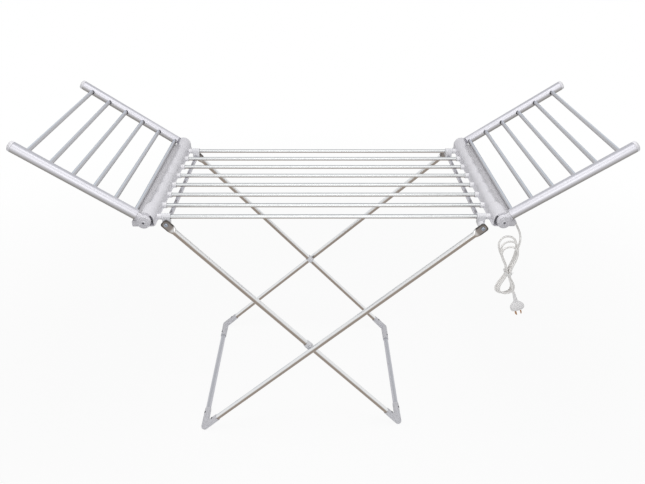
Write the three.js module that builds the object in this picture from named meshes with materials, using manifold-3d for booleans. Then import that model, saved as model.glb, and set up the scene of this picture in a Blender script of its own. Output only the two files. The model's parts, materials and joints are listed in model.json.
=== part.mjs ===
// A heated clothes airer: a rack of eight heated tubes between two moulded end housings, a wing of six
// bars hinged to each housing, and two U-shaped leg frames that cross below the rack.
// Lengths are in millimetres. X runs along the rack, Y from front to rear and Z up from the floor.

import * as THREE from 'three';
import { mergeVertices } from 'three/addons/utils/BufferGeometryUtils.js';
import Module from 'manifold-3d';

const wasm = await Module();
wasm.setup();

// Clearances and overruns
const GAP = 0.3;
const RUNNING_GAP = 0.6;
const OVERRUN = 4;
const WELD = 0.0001;
const PROBE_SHARE = 0.25;
const NEAR_DIAMETERS = 4;

// Rack of heated tubes
const RACK_HEIGHT = 726;
const RACK_DEPTH = 524;
const BAR_DIAMETER = 11;
const BAR_WALL = 1;
const TUBE_COUNT = 8;
const TUBE_BITE = 12;
const COLLAR_DIAMETER = 15;
const COLLAR_LENGTH = 10.9;
const COLLAR_CHAMFER = 1.2;
const CABLE_DIAMETER = 3.2;
const CABLE_TAIL = 6;
const CABLE_CORNER = 4.8;
const CABLE_CHANNEL_DIAMETER = 7;

// Hinge axes of the wings
const HINGE_SPACING = 894;
const HINGE_RISE = 9.5;
const WING_ANGLE = THREE.MathUtils.degToRad(34.1);

// End housings
const HOUSING_WALL = 2.4;
const HOUSING_OUTREACH = 33;
const HOUSING_DROP = 17.5;
const HOUSING_RIM = 6.4;
const HOUSING_FLARE = 2.4;
const SHOULDER_DROP = 1.5;
const SCALLOP_DEPTH = 2.4;
const SCALLOP_FADE = 9;
const POCKET_DEPTH = 26;
const BASE_THICKNESS = 2.2;
const BASE_CORNER = 3;
const CROWN_CLEARANCE = 2.5;
const LOBE_ANGLE = THREE.MathUtils.degToRad(78);
const GROOVE_ANGLE = THREE.MathUtils.degToRad(96);
const VALLEY_WIDTH = 25;
const VALLEY_TOP_SHARES = [0.42, 0.92];
const VALLEY_FOOT_SHARE = 0.52;
const VALLEY_REACH = 6;
const SHOULDER_ROUND_SHARE = 0.12;

// Wings
const WING_BAR_COUNT = 6;
const FIRST_BAR_REACH = 30;
const WING_BAR_PITCH = 56.3;
const ARM_DIAMETER = 27;
const ARM_WALL = 1.6;
const ARM_OVERHANG = 30.8;
const ARM_INSET = 5.5;
const BAR_BITE = 6;
const CAP_LENGTH = 10;
const CAP_RIM = 4;
const CAP_PLUG = 16;
const KNUCKLE_DIAMETER = 34.8;
const KNUCKLE_WIDTH = 13.6;
const KNUCKLE_CHAMFER = 1.4;
const KNUCKLE_STEP = 1.5;
const KNUCKLE_STEP_DIAMETER = 24;
const KNUCKLE_BOSS_DIAMETER = 12.4;
const KNUCKLE_SPIGOT = 26;
const HUB_DIAMETER = 22;
const PIN_DIAMETER = 6;
const PIN_RECESS = 8;

// Leg brackets and axle tubes
const BRACKET_LENGTH = 22;
const BRACKET_DIAMETER = 17.4;
const PIVOT_DROP = 18;
const LUG_DIAMETER = 18.6;
const AXLE_BITE = 9;
const BOLT_DIAMETER = 6;
const BOLT_HEAD_DIAMETER = 11;
const BOLT_HEAD_HEIGHT = 3.6;

// Leg frames: the left one crosses inside the right one
const LEG_DIAMETER = 16;
const LEG_WALL = 1.2;
const LEG_PLANE_STEP = 20.5;
const INNER_FOOT_X = 235;
const OUTER_FOOT_X = -366;
const FOOT_HEIGHT = 10;
const TONGUE_THICKNESS = 3.6;
const TONGUE_WIDTH = 25;
const TONGUE_OVERHANG = 11;
const TONGUE_LENGTH = 13;
const TONGUE_BLEND = 17;
const TONGUE_END_SQUARENESS = 3.6;
const FLAT_SQUARENESS = 6;
const ROUND_SQUARENESS = 2;
const ELBOW_DIAMETER = 21;
const ELBOW_MOUTH_DIAMETER = 19.6;
const ELBOW_LEG_SLEEVE = 58;
const ELBOW_FOOT_SLEEVE = 72;
const ELBOW_SETBACK = 9;
const CLIP_DIAMETER = 20.2;
const CLIP_LENGTH = 20;
const CLIP_OFFSET = 9;
const CLIP_PAD_WIDTH = 12;

// Mains cord, its outlet, its hank and its plug
const CORD_DIAMETER = 5.2;
const OUTLET_INSET = 36;
const OUTLET_DROP = 8;
const OUTLET_DIAMETER = 11;
const OUTLET_FLANGE = 2;
const OUTLET_NECK_DIAMETER = 8.4;
const OUTLET_TAIL = 4;
const OUTLET_RELIEF = 20;
const OUTLET_TIP_DIAMETER = 6.8;
const OUTLET_TILT = THREE.MathUtils.degToRad(50);
const OUTLET_TURN = THREE.MathUtils.degToRad(50);
const LEAD_STRAIGHT = 9.4;
const CORD_LEAD_OFFSETS = [
  [53, 9, -44.5],
  [54.5, 3.5, -59.5],
  [52, 0.5, -78.5],
  [46, 0, -102.5],
];
const LEAD_STEPS = 22;
const HANK_OUTREACH = 32;
const HANK_FALL = 147.5;
const HANK_LOOPS = 3;
const HANK_HEIGHT = 104;
const HANK_DROP = 71;
const HANK_WAIST = 6.4;
const HANK_WIDTH = 60;
const HANK_LAYER = 6;
const HANK_LEAN = -10;
const HANK_SPLAY = 8;
const HANK_STEPS_PER_LOOP = 24;
const HANK_START_TURN = 0.2;
const HANK_END_TURN = 0.25;
const HANK_TOP_SHARES = [0.8, 1, 0.89, 0.77];
const HANK_TOP_WIDTH_SHARES = [0.8, 1, 0.95, 0.9];
const HANK_LEAN_SHARES = [0, 1, 0.35, 0.3];
const HANK_BOTTOM_SHARES = [1, 0.96, 0.92];
const HANK_BOTTOM_WIDTH_SHARES = [0.92, 0.9, 0.88];
const HANK_SPLAY_SHARES = [-0.6, -0.1, 0.3];
const HANK_SOFTNESS = 0.3;
const HANK_TAIL_STEPS = 7;
const TIE_TURN = 0.25;
const TIE_HEIGHT = 4;
const TIE_EASE = 1.8;
const TIE_THICKNESS = 1.5;
const TIE_TAIL = 11;
const TIE_TAIL_DIAMETER = 2;
const TIE_TAIL_ANGLES = { '-1': Math.PI / 3, 1: Math.PI / 2 };
const PLUG_TILT = THREE.MathUtils.degToRad(20);
const PLUG_OUTREACH = 53;
const PLUG_FALL = 214.5;
const RELIEF_LENGTH = 26;
const RELIEF_TOP_DIAMETER = 6.8;
const RELIEF_BASE_DIAMETER = 10.6;
const PLUG_WIDTH = 37;
const PLUG_LENGTH = 29;
const PLUG_THICKNESS = 19;
const PLUG_BEVEL = 3;
const PLUG_BEVEL_STEPS = 2;
const PLUG_CURVE_STEPS = 4;
const PLUG_SHOULDER_SHARE = 0.78;
const RELIEF_ROOT_SHARE = 0.33;
const PIN_SPACING = 13.7;
const PIN_BLADE_WIDTH = 6.3;
const PIN_BLADE_THICKNESS = 1.7;
const PIN_BLADE_LENGTH = 17;
const PIN_BLADE_ANGLE = THREE.MathUtils.degToRad(30);

// Facet counts
const FINE = 16;
const MEDIUM = 12;
const COARSE = 8;
const CABLE_SIDES = 5;
const CORD_SIDES = 8;
const HANK_SIDES = 6;
const LOBE_STEPS = 4;
const OUTLINE_STEPS = 3;
const DOME_STEPS = 3;
const CABLE_TURN_STEPS = 6;
const CABLE_CORNER_STEPS = 2;
const CORNER_STEPS = 2;
const TONGUE_END_STEPS = 4;
const TONGUE_BLEND_STEPS = 4;

// Places worked out from the sizes above
const HALF = 0.5;
const barRadius = BAR_DIAMETER / 2;
const armRadius = ARM_DIAMETER / 2;
const armBore = armRadius - ARM_WALL;
const legRadius = LEG_DIAMETER / 2;
const hingeX = HINGE_SPACING / 2;
const hingeZ = RACK_HEIGHT + HINGE_RISE;
const crownRadius = FIRST_BAR_REACH - barRadius - CROWN_CLEARANCE;
const housingHalf = RACK_DEPTH / 2;
const tubePitch = (RACK_DEPTH - 2 * HOUSING_RIM) / TUBE_COUNT;
const pocketFloor = housingHalf - POCKET_DEPTH;
const armY = housingHalf - ARM_INSET;
const barEndY = armY - armBore + BAR_BITE;
const knuckleBack = housingHalf + GAP + HALF * GAP;
const knuckleFace = knuckleBack + KNUCKLE_WIDTH;
const spigotStart = crownRadius + RUNNING_GAP;
const armStart = spigotStart + GAP;
const spigotEnd = spigotStart + KNUCKLE_SPIGOT;
const housingWallX = hingeX - crownRadius;
const collarStartX = housingWallX - COLLAR_LENGTH;
const bracketX = collarStartX - GAP - BRACKET_LENGTH / 2;
const endTubeY = ((TUBE_COUNT - 1) * tubePitch) / 2;
const bracketFaceY = endTubeY + BRACKET_DIAMETER / 2;
const pivotZ = RACK_HEIGHT - PIVOT_DROP;
const innerLegY = bracketFaceY + GAP + TONGUE_THICKNESS / 2;
const outerLegY = innerLegY + LEG_PLANE_STEP;
const cableDrop = barRadius - BAR_WALL - GAP - CABLE_DIAMETER / 2;
const tubeY = (index) => (index - (TUBE_COUNT - 1) / 2) * tubePitch;
const wingBarReach = (index) => FIRST_BAR_REACH + index * WING_BAR_PITCH;
const armLength = wingBarReach(WING_BAR_COUNT - 1) + ARM_OVERHANG;
const hankX = hingeX + HANK_OUTREACH;
const hankY = -housingHalf;
const hankZ = hingeZ - HANK_FALL;

const FRONT = -1;
const REAR = 1;
const LEFT = -1;
const RIGHT = 1;
const sideName = (side) => (side === LEFT ? 'left' : 'right');
const endName = (end) => (end === FRONT ? 'front' : 'rear');

// Finishes
const FINISHES = {
  housing: { color: 0xd5d4d9, roughness: 0.48, metalness: 0 },
  collar: { color: 0xdcdde2, roughness: 0.45, metalness: 0 },
  bracket: { color: 0xcfd0d7, roughness: 0.5, metalness: 0 },
  elbow: { color: 0xbcbdc3, roughness: 0.5, metalness: 0 },
  polished: { color: 0xd9dadd, roughness: 0.22, metalness: 1 },
  satin: { color: 0xc4c5ca, roughness: 0.38, metalness: 1 },
  leg: { color: 0xb5b2ae, roughness: 0.26, metalness: 1 },
  cable: { color: 0xb9502f, roughness: 0.6, metalness: 0 },
  cord: { color: 0xf1f1f1, roughness: 0.45, metalness: 0 },
};

// Geometry helpers

function bare(geometry) {
  const copy = geometry.clone();
  copy.deleteAttribute('normal');
  copy.deleteAttribute('uv');
  return mergeVertices(copy, WELD);
}

function signedVolume(geometry) {
  const place = geometry.attributes.position;
  const index = geometry.index;
  const a = new THREE.Vector3();
  const b = new THREE.Vector3();
  const c = new THREE.Vector3();
  let sum = 0;
  for (let i = 0; i < index.count; i += 3) {
    a.fromBufferAttribute(place, index.getX(i));
    b.fromBufferAttribute(place, index.getX(i + 1));
    c.fromBufferAttribute(place, index.getX(i + 2));
    sum += a.dot(b.cross(c));
  }
  return sum;
}

// Welds a geometry and turns its faces outwards
function closed(geometry) {
  const result = bare(geometry);
  if (signedVolume(result) < 0) {
    const list = result.index.array;
    for (let i = 0; i < list.length; i += 3) {
      const first = list[i];
      list[i] = list[i + 2];
      list[i + 2] = first;
    }
  }
  return result;
}

function toSolid(geometry) {
  const mesh = closed(geometry);
  const options = {
    numProp: 3,
    vertProperties: new Float32Array(mesh.attributes.position.array),
    triVerts: new Uint32Array(mesh.index.array),
  };
  return new wasm.Manifold(new wasm.Mesh(options));
}

function fromSolid(solid) {
  const mesh = solid.getMesh();
  const geometry = new THREE.BufferGeometry();
  geometry.setAttribute('position', new THREE.BufferAttribute(new Float32Array(mesh.vertProperties), 3));
  geometry.setIndex(new THREE.BufferAttribute(new Uint32Array(mesh.triVerts), 1));
  return geometry;
}

function addTo(solid, geometries) {
  let whole = solid;
  for (const next of geometries) whole = whole.add(toSolid(next));
  return whole;
}

function join(geometries) {
  return addTo(toSolid(geometries[0]), geometries.slice(1));
}

function cut(solid, geometries) {
  let rest = solid;
  for (const tool of geometries) rest = rest.subtract(toSolid(tool));
  return rest;
}

// A faceted hole's radius that leaves the clearance at the middle of each facet
const boreRadius = (radius, sides) => (radius + GAP) / Math.cos(Math.PI / sides);

function roundShape(radius, sides) {
  const points = [];
  for (let i = 0; i < sides; i += 1) {
    const turn = ((i + HALF) / sides) * Math.PI * 2;
    points.push(new THREE.Vector2(radius * Math.cos(turn), radius * Math.sin(turn)));
  }
  return new THREE.Shape(points);
}

// A prism of an outline drawn in X and Z, from one place along Y to another
function prismY(shape, from, to, curveSegments = MEDIUM) {
  const geometry = new THREE.ExtrudeGeometry(shape, { depth: to - from, bevelEnabled: false, curveSegments });
  return geometry.rotateX(Math.PI / 2).translate(0, to, 0);
}

function rodY(radius, from, to, sides) {
  return prismY(roundShape(radius, sides), from, to);
}

function rodX(radius, from, to, sides) {
  const options = { depth: to - from, bevelEnabled: false };
  const geometry = new THREE.ExtrudeGeometry(roundShape(radius, sides), options);
  return geometry.rotateY(Math.PI / 2).translate(from, 0, 0);
}

// A rectangle about the centre with rounded corners
function roundedRectangle(halfX, halfY, corner) {
  const x = halfX - corner;
  const y = halfY - corner;
  const shape = new THREE.Shape();
  shape.absarc(x, y, corner, 0, Math.PI / 2, false);
  shape.absarc(-x, y, corner, Math.PI / 2, Math.PI, false);
  shape.absarc(-x, -y, corner, -Math.PI, -Math.PI / 2, false);
  shape.absarc(x, -y, corner, -Math.PI / 2, 0, false);
  return shape;
}

function pipeShape(radius, bore, sides) {
  const shape = roundShape(radius, sides);
  shape.holes.push(roundShape(bore, sides));
  return shape;
}

function pipeY(radius, bore, from, to, sides) {
  return prismY(pipeShape(radius, bore, sides), from, to);
}

function pipeX(radius, bore, from, to, sides) {
  const options = { depth: to - from, bevelEnabled: false };
  const geometry = new THREE.ExtrudeGeometry(pipeShape(radius, bore, sides), options);
  return geometry.rotateY(Math.PI / 2).translate(from, 0, 0);
}

// A turned piece along X from [place along X, radius] pairs
function turnedX(profile, sides) {
  const points = profile.map(([along, radius]) => new THREE.Vector2(radius, along));
  return new THREE.LatheGeometry(points, sides).rotateZ(-Math.PI / 2);
}

// A turned piece along Y from [place along Y, radius] pairs
function turnedY(profile, sides) {
  const points = profile.map(([along, radius]) => new THREE.Vector2(radius, along));
  return new THREE.LatheGeometry(points, sides);
}

// Twice the area that a ring of points encloses, as a vector square to it
function areaVector(ring) {
  const sum = new THREE.Vector3();
  for (let i = 0; i < ring.length; i += 1) {
    sum.add(new THREE.Vector3().crossVectors(ring[i], ring[(i + 1) % ring.length]));
  }
  return sum;
}

// A skin over rings of points, closed at both ends. The flatten function drops the direction of sweep
function loft(rings, flatten) {
  const count = rings[0].length;
  const last = rings.length - 1;
  const sweep = new THREE.Vector3().subVectors(rings[last][0], rings[0][0]);
  const faces = [];
  const addFace = (a, b, c, flipped) => faces.push(...(flipped ? [c, b, a] : [a, b, c]));
  const sidesFlipped = areaVector(rings[0]).dot(sweep) < 0;
  for (let row = 0; row < last; row += 1) {
    for (let i = 0; i < count; i += 1) {
      const next = (i + 1) % count;
      const low = row * count;
      const high = low + count;
      addFace(low + i, low + next, high + next, sidesFlipped);
      addFace(low + i, high + next, high + i, sidesFlipped);
    }
  }
  for (const [a, b, c] of THREE.ShapeUtils.triangulateShape(rings[0].map(flatten), [])) {
    const corners = [rings[0][a], rings[0][b], rings[0][c]];
    const capFlipped = areaVector(corners).dot(sweep) < 0;
    addFace(a, b, c, !capFlipped);
    addFace(last * count + a, last * count + b, last * count + c, capFlipped);
  }
  const places = rings.flat().flatMap((point) => [point.x, point.y, point.z]);
  const geometry = new THREE.BufferGeometry();
  geometry.setAttribute('position', new THREE.Float32BufferAttribute(places, 3));
  geometry.setIndex(faces);
  return geometry;
}

// Drops points that repeat the one before
function distinct(points) {
  return points.filter((point, i) => point.distanceTo(points.at(i - 1)) > WELD);
}

// A path through given points, whose tube has one ring at each point
class Route extends THREE.Curve {
  constructor(points) {
    super();
    this.points = points;
  }

  getPoint(t, target = new THREE.Vector3()) {
    const place = t * (this.points.length - 1);
    const before = Math.min(Math.floor(place + WELD), this.points.length - 2);
    return target.lerpVectors(this.points[before], this.points[before + 1], place - before);
  }

  getPointAt(t, target) {
    return this.getPoint(t, target);
  }

  getTangentAt(t, target = new THREE.Vector3()) {
    const last = this.points.length - 1;
    const here = Math.round(t * last);
    const into = Math.max(here - 1, 0);
    const out = Math.min(here + 1, last);
    const arriving = new THREE.Vector3().subVectors(this.points[here], this.points[into]).normalize();
    const leaving = new THREE.Vector3().subVectors(this.points[out], this.points[here]).normalize();
    return target.addVectors(arriving, leaving).normalize();
  }
}

function routeTube(points, radius, sides) {
  const options = { extrudePath: new Route(points), steps: points.length - 1, bevelEnabled: false };
  return new THREE.ExtrudeGeometry(roundShape(radius, sides), options);
}

// A route that runs straight between corners and turns each one on an arc
function roundedRoute(corners, radius, stepsPerCorner) {
  const points = [corners[0]];
  for (let i = 1; i + 1 < corners.length; i += 1) {
    const into = new THREE.Vector3().subVectors(corners[i - 1], corners[i]).normalize();
    const out = new THREE.Vector3().subVectors(corners[i + 1], corners[i]).normalize();
    const opening = into.angleTo(out) / 2;
    const tangent = radius / Math.tan(opening);
    const middle = new THREE.Vector3().addVectors(into, out).normalize();
    const centre = corners[i].clone().addScaledVector(middle, radius / Math.sin(opening));
    const start = corners[i].clone().addScaledVector(into, tangent).sub(centre);
    const stop = corners[i].clone().addScaledVector(out, tangent).sub(centre);
    const sweep = start.angleTo(stop);
    for (let step = 0; step <= stepsPerCorner; step += 1) {
      const share = step / stepsPerCorner;
      const from = Math.sin((1 - share) * sweep) / Math.sin(sweep);
      const to = Math.sin(share * sweep) / Math.sin(sweep);
      points.push(centre.clone().addScaledVector(start, from).addScaledVector(stop, to));
    }
  }
  points.push(corners[corners.length - 1]);
  return points;
}

const pieces = new THREE.Group();

function addPiece(parent, name, geometry, finish) {
  const mesh = new THREE.Mesh(closed(geometry), new THREE.MeshStandardMaterial(FINISHES[finish]));
  mesh.name = name;
  parent.add(mesh);
  return mesh;
}

// A group whose +X points outboard on the given side of the airer
function sideGroup(side, x, z) {
  const group = new THREE.Group();
  group.position.set(side * x, 0, z);
  if (side === LEFT) group.rotation.z = Math.PI;
  pieces.add(group);
  return group;
}

// The Y direction of a front or rear end inside a side group
const endInside = (side, end) => side * end;

// End housings

// Height of the pillow-like lobe over each tube, from 0 in the grooves to 1 on the crown
function lobe(y) {
  return Math.abs(y) >= endTubeY ? 1 : Math.sqrt(Math.abs(Math.sin((Math.PI * y) / tubePitch)));
}

// Section of the housing round its hinge axis, from the inboard foot over the lobe's crown and down
// into the valley under the first wing bar. X is outboard, and height is the lobe's, from 0 to 1
function housingOutline(height, inset, floor) {
  const scallop = SCALLOP_DEPTH * (1 - height);
  const crown = crownRadius - scallop - inset;
  const wall = crownRadius - inset;
  const outboard = HOUSING_OUTREACH - inset;
  const shoulder = -SHOULDER_DROP - inset;
  const round = HOUSING_OUTREACH * SHOULDER_ROUND_SHARE;
  const turn = THREE.MathUtils.lerp(GROOVE_ANGLE, LOBE_ANGLE, height);
  const drawn = VALLEY_REACH * (1 - height) + inset;
  const [topX, topZ] = VALLEY_TOP_SHARES;
  const path = new THREE.Path();
  path.moveTo(-wall - HOUSING_FLARE, floor);
  path.lineTo(-wall, -SCALLOP_FADE);
  path.lineTo(-crown, 0);
  path.absarc(0, 0, crown, Math.PI, turn, true);
  path.bezierCurveTo(
    topX * crownRadius - drawn,
    topZ * crown,
    VALLEY_FOOT_SHARE * VALLEY_WIDTH - drawn,
    shoulder + round * HALF,
    VALLEY_WIDTH - inset,
    shoulder,
  );
  path.lineTo(outboard - round, shoulder);
  path.quadraticCurveTo(outboard, shoulder, outboard, shoulder - round);
  path.lineTo(outboard, floor);
  return distinct(path.getPoints(OUTLINE_STEPS));
}

function housingStations() {
  const crownHalf = housingHalf - HOUSING_RIM;
  const count = TUBE_COUNT * LOBE_STEPS;
  const stations = [-housingHalf];
  for (let i = 0; i <= count; i += 1) stations.push(-crownHalf + (i / count) * 2 * crownHalf);
  stations.push(housingHalf);
  return stations;
}

// A short collar round each tube, moulded on the inboard wall
function collar(index) {
  const radius = COLLAR_DIAMETER / 2;
  const end = -crownRadius + HOUSING_WALL * HALF;
  const start = -crownRadius - COLLAR_LENGTH;
  const profile = [
    [start, 0],
    [start, radius - COLLAR_CHAMFER],
    [start + COLLAR_CHAMFER, radius],
    [end, radius],
    [end, 0],
  ];
  return turnedX(profile, MEDIUM).translate(0, tubeY(index), -HINGE_RISE);
}

// A stub pin on the pocket's wall, whose end shows in the knuckle's recess
function hingePin(end) {
  const pin = rodY(PIN_DIAMETER / 2, pocketFloor - HOUSING_WALL * HALF, knuckleFace - PIN_RECESS, COARSE);
  return end === REAR ? pin : mirrorY(pin);
}

// The open pocket that the knuckle's hub turns in; the wall outboard of the hub stays closed
function hingePocket(floor) {
  const inner = new THREE.Shape(housingOutline(1, HOUSING_WALL, floor - OVERRUN));
  const room = toSolid(prismY(inner, pocketFloor, housingHalf + OVERRUN));
  const width = 2 * HOUSING_OUTREACH;
  const block = new THREE.BoxGeometry(width, RACK_DEPTH + 2 * OVERRUN, width);
  const edge = HUB_DIAMETER / 2 + RUNNING_GAP;
  return fromSolid(room.subtract(toSolid(block.translate(edge + width / 2, 0, 0))));
}

function housingShell(side) {
  const floor = -HOUSING_DROP + BASE_THICKNESS + GAP;
  const ring = (y) => {
    return housingOutline(lobe(y), 0, floor).map((point) => new THREE.Vector3(point.x, y, point.y));
  };
  const outside = loft(housingStations().map(ring), (point) => new THREE.Vector2(point.x, point.z));
  const inner = new THREE.Shape(housingOutline(0, HOUSING_WALL, floor - OVERRUN));
  const cavityHalf = pocketFloor - HOUSING_WALL;
  const holes = [];
  const collars = [];
  for (let i = 0; i < TUBE_COUNT; i += 1) {
    const from = -crownRadius - COLLAR_LENGTH - OVERRUN;
    const hole = rodX(boreRadius(barRadius, MEDIUM), from, -crownRadius + HOUSING_WALL + OVERRUN, MEDIUM);
    holes.push(hole.translate(0, tubeY(i), -HINGE_RISE));
    collars.push(collar(i));
  }
  if (side === RIGHT) {
    const from = HOUSING_OUTREACH - HOUSING_WALL - OVERRUN;
    const radius = boreRadius(OUTLET_NECK_DIAMETER / 2, MEDIUM);
    const hole = rodX(radius, from, HOUSING_OUTREACH + OVERRUN, MEDIUM);
    holes.push(hole.translate(0, outletY, -OUTLET_DROP));
  }
  const pocket = hingePocket(floor);
  const hollow = cut(toSolid(outside), [prismY(inner, -cavityHalf, cavityHalf), pocket, mirrorY(pocket)]);
  const fitted = addTo(hollow, [...collars, hingePin(FRONT), hingePin(REAR)]);
  return fromSolid(cut(fitted, holes));
}

function housingBase() {
  const inboard = crownRadius - HOUSING_WALL * HALF - GAP;
  const halfX = (inboard + HOUSING_OUTREACH) / 2;
  const options = { depth: BASE_THICKNESS, bevelEnabled: false, curveSegments: CORNER_STEPS };
  const plate = new THREE.ExtrudeGeometry(roundedRectangle(halfX, housingHalf, BASE_CORNER), options);
  return plate.translate(HOUSING_OUTREACH - halfX, 0, -HOUSING_DROP);
}

function buildHousing(side) {
  const group = sideGroup(side, hingeX, hingeZ);
  addPiece(group, `${sideName(side)}_end_housing`, housingShell(side), 'housing');
  addPiece(group, `${sideName(side)}_end_base`, housingBase(), 'housing');
}

// Heated tubes and the heating cable that runs through them

const tubeEndX = housingWallX + HOUSING_WALL + TUBE_BITE;

function buildTubes() {
  for (let i = 0; i < TUBE_COUNT; i += 1) {
    const tube = pipeX(barRadius, barRadius - BAR_WALL, -tubeEndX, tubeEndX, MEDIUM);
    const mesh = addPiece(pieces, `heating_tube_${i + 1}`, tube, 'polished');
    mesh.position.set(0, tubeY(i), RACK_HEIGHT);
  }
}

// The cable rests on the floor of each tube and turns back in one housing or the other
function buildRackCable() {
  const last = TUBE_COUNT - 1;
  const height = RACK_HEIGHT - cableDrop;
  const lastHeading = TUBE_COUNT % 2 === 0 ? RIGHT : LEFT;
  const points = [new THREE.Vector3(tubeEndX + CABLE_TAIL, tubeY(0), height)];
  for (let i = 0; i < last; i += 1) {
    const heading = i % 2 === 0 ? LEFT : RIGHT;
    const centreY = (tubeY(i) + tubeY(i + 1)) / 2;
    for (let step = 0; step <= CABLE_TURN_STEPS; step += 1) {
      const turn = (step / CABLE_TURN_STEPS) * Math.PI;
      const x = heading * (tubeEndX + (tubePitch / 2) * Math.sin(turn));
      points.push(new THREE.Vector3(x, centreY - (tubePitch / 2) * Math.cos(turn), height));
    }
  }
  points.push(new THREE.Vector3(lastHeading * (tubeEndX + CABLE_TAIL), tubeY(last), height));
  addPiece(pieces, 'rack_heating_cable', routeTube(points, CABLE_DIAMETER / 2, CABLE_SIDES), 'cable');
}

// Wings. In a wing's own frame the arms run along +X from the hinge axis, which is Y

function wingGroup(side) {
  const group = new THREE.Group();
  group.position.set(side * hingeX, 0, hingeZ);
  group.rotation.set(0, -side * WING_ANGLE, side === LEFT ? Math.PI : 0);
  pieces.add(group);
  return group;
}

function arm(end) {
  const tube = pipeX(armRadius, armBore, armStart, armLength, FINE);
  const tools = [];
  for (let i = 0; i < WING_BAR_COUNT; i += 1) {
    const hole = rodY(boreRadius(barRadius, COARSE), 0, armRadius + OVERRUN, COARSE);
    tools.push(hole.rotateX(end === FRONT ? 0 : Math.PI).translate(wingBarReach(i), 0, 0));
  }
  return fromSolid(cut(toSolid(tube), tools)).translate(0, end * armY, 0);
}

function endCap(end) {
  const plug = armBore - GAP;
  const profile = [
    [armLength - CAP_PLUG, 0],
    [armLength - CAP_PLUG, plug],
    [armLength + GAP, plug],
    [armLength + GAP, armRadius],
    [armLength + CAP_RIM, armRadius],
  ];
  for (let step = 1; step <= DOME_STEPS; step += 1) {
    const turn = (step / DOME_STEPS) * (Math.PI / 2);
    const along = armLength + CAP_RIM + (CAP_LENGTH - CAP_RIM) * Math.sin(turn);
    profile.push([along, step === DOME_STEPS ? 0 : armRadius * Math.cos(turn)]);
  }
  return turnedX(profile, FINE).translate(0, end * armY, 0);
}

// The knuckle carries the arm: a stepped disc in front of the housing's end, a hub in its pocket, and a
// neck that runs past the housing's end to a spigot inside the arm
function knuckle(end) {
  const disc = KNUCKLE_DIAMETER / 2;
  const channel = CABLE_CHANNEL_DIAMETER / 2;
  const profile = [
    [knuckleBack, 0],
    [knuckleBack, disc],
    [knuckleFace - KNUCKLE_CHAMFER, disc],
    [knuckleFace, disc - KNUCKLE_CHAMFER],
    [knuckleFace, KNUCKLE_STEP_DIAMETER / 2],
    [knuckleFace + KNUCKLE_STEP, KNUCKLE_STEP_DIAMETER / 2],
    [knuckleFace + KNUCKLE_STEP, KNUCKLE_BOSS_DIAMETER / 2],
    [knuckleFace + 2 * KNUCKLE_STEP, KNUCKLE_BOSS_DIAMETER / 2],
    [knuckleFace + 2 * KNUCKLE_STEP, 0],
  ];
  const neck = toSolid(rodX(armRadius, 0, spigotStart, FINE).translate(0, armY, 0));
  const behind = new THREE.BoxGeometry(2 * ARM_DIAMETER, 2 * knuckleBack, 2 * ARM_DIAMETER);
  const body = join([
    turnedY(profile, FINE),
    rodY(HUB_DIAMETER / 2, pocketFloor + RUNNING_GAP, knuckleBack + OVERRUN, MEDIUM),
    fromSolid(cut(neck, [behind])),
    rodX(armBore - GAP, spigotStart - WELD, spigotEnd, FINE).translate(0, armY, 0),
  ]);
  const face = knuckleFace + OVERRUN;
  const shaped = cut(body, [
    rodY(boreRadius(PIN_DIAMETER / 2, COARSE), pocketFloor - OVERRUN, face, COARSE),
    rodY(boreRadius(barRadius, MEDIUM), 0, barEndY + GAP, MEDIUM).translate(FIRST_BAR_REACH, 0, 0),
    rodY(channel, 0, armY + channel, COARSE).translate(FIRST_BAR_REACH, 0, -cableDrop),
    rodX(channel, FIRST_BAR_REACH, spigotEnd + OVERRUN, COARSE).translate(0, armY, -cableDrop),
  ]);
  const geometry = fromSolid(shaped);
  return end === REAR ? geometry : mirrorY(geometry);
}

function mirrorY(geometry) {
  return geometry.clone().scale(1, -1, 1);
}

function wingCable() {
  const last = WING_BAR_COUNT - 1;
  const lastEnd = WING_BAR_COUNT % 2 === 0 ? FRONT : REAR;
  const corners = [new THREE.Vector3(FIRST_BAR_REACH, -armY + armRadius, -cableDrop)];
  for (let i = 0; i < last; i += 1) {
    const end = i % 2 === 0 ? REAR : FRONT;
    corners.push(new THREE.Vector3(wingBarReach(i), end * armY, -cableDrop));
    corners.push(new THREE.Vector3(wingBarReach(i + 1), end * armY, -cableDrop));
  }
  corners.push(new THREE.Vector3(wingBarReach(last), lastEnd * (armY - armRadius), -cableDrop));
  const route = roundedRoute(corners, CABLE_CORNER, CABLE_CORNER_STEPS);
  return routeTube(route, CABLE_DIAMETER / 2, CABLE_SIDES);
}

function buildWing(side) {
  const name = `${sideName(side)}_wing`;
  const group = wingGroup(side);
  for (const end of [FRONT, REAR]) {
    const inside = endInside(side, end);
    addPiece(group, `${name}_${endName(end)}_arm`, arm(inside), 'satin');
    addPiece(group, `${name}_${endName(end)}_cap`, endCap(inside), 'collar');
    addPiece(group, `${name}_${endName(end)}_knuckle`, knuckle(inside), 'housing');
  }
  for (let i = 0; i < WING_BAR_COUNT; i += 1) {
    const bar = pipeY(barRadius, barRadius - BAR_WALL, -barEndY, barEndY, MEDIUM);
    addPiece(group, `${name}_bar_${i + 1}`, bar.translate(wingBarReach(i), 0, 0), 'satin');
  }
  addPiece(group, `${name}_heating_cable`, wingCable(), 'cable');
}

// Leg brackets: a sleeve round the end tube and a lug with the leg's pivot below it

const legPlane = (side) => (side === LEFT ? innerLegY : outerLegY);
const tongueBack = (side) => legPlane(side) - TONGUE_THICKNESS / 2;

function lugShape() {
  const half = LUG_DIAMETER / 2;
  const shape = new THREE.Shape();
  shape.moveTo(-half, 0);
  shape.absarc(0, -PIVOT_DROP, half, Math.PI, Math.PI * 2, false);
  shape.lineTo(half, 0);
  return shape;
}

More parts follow.
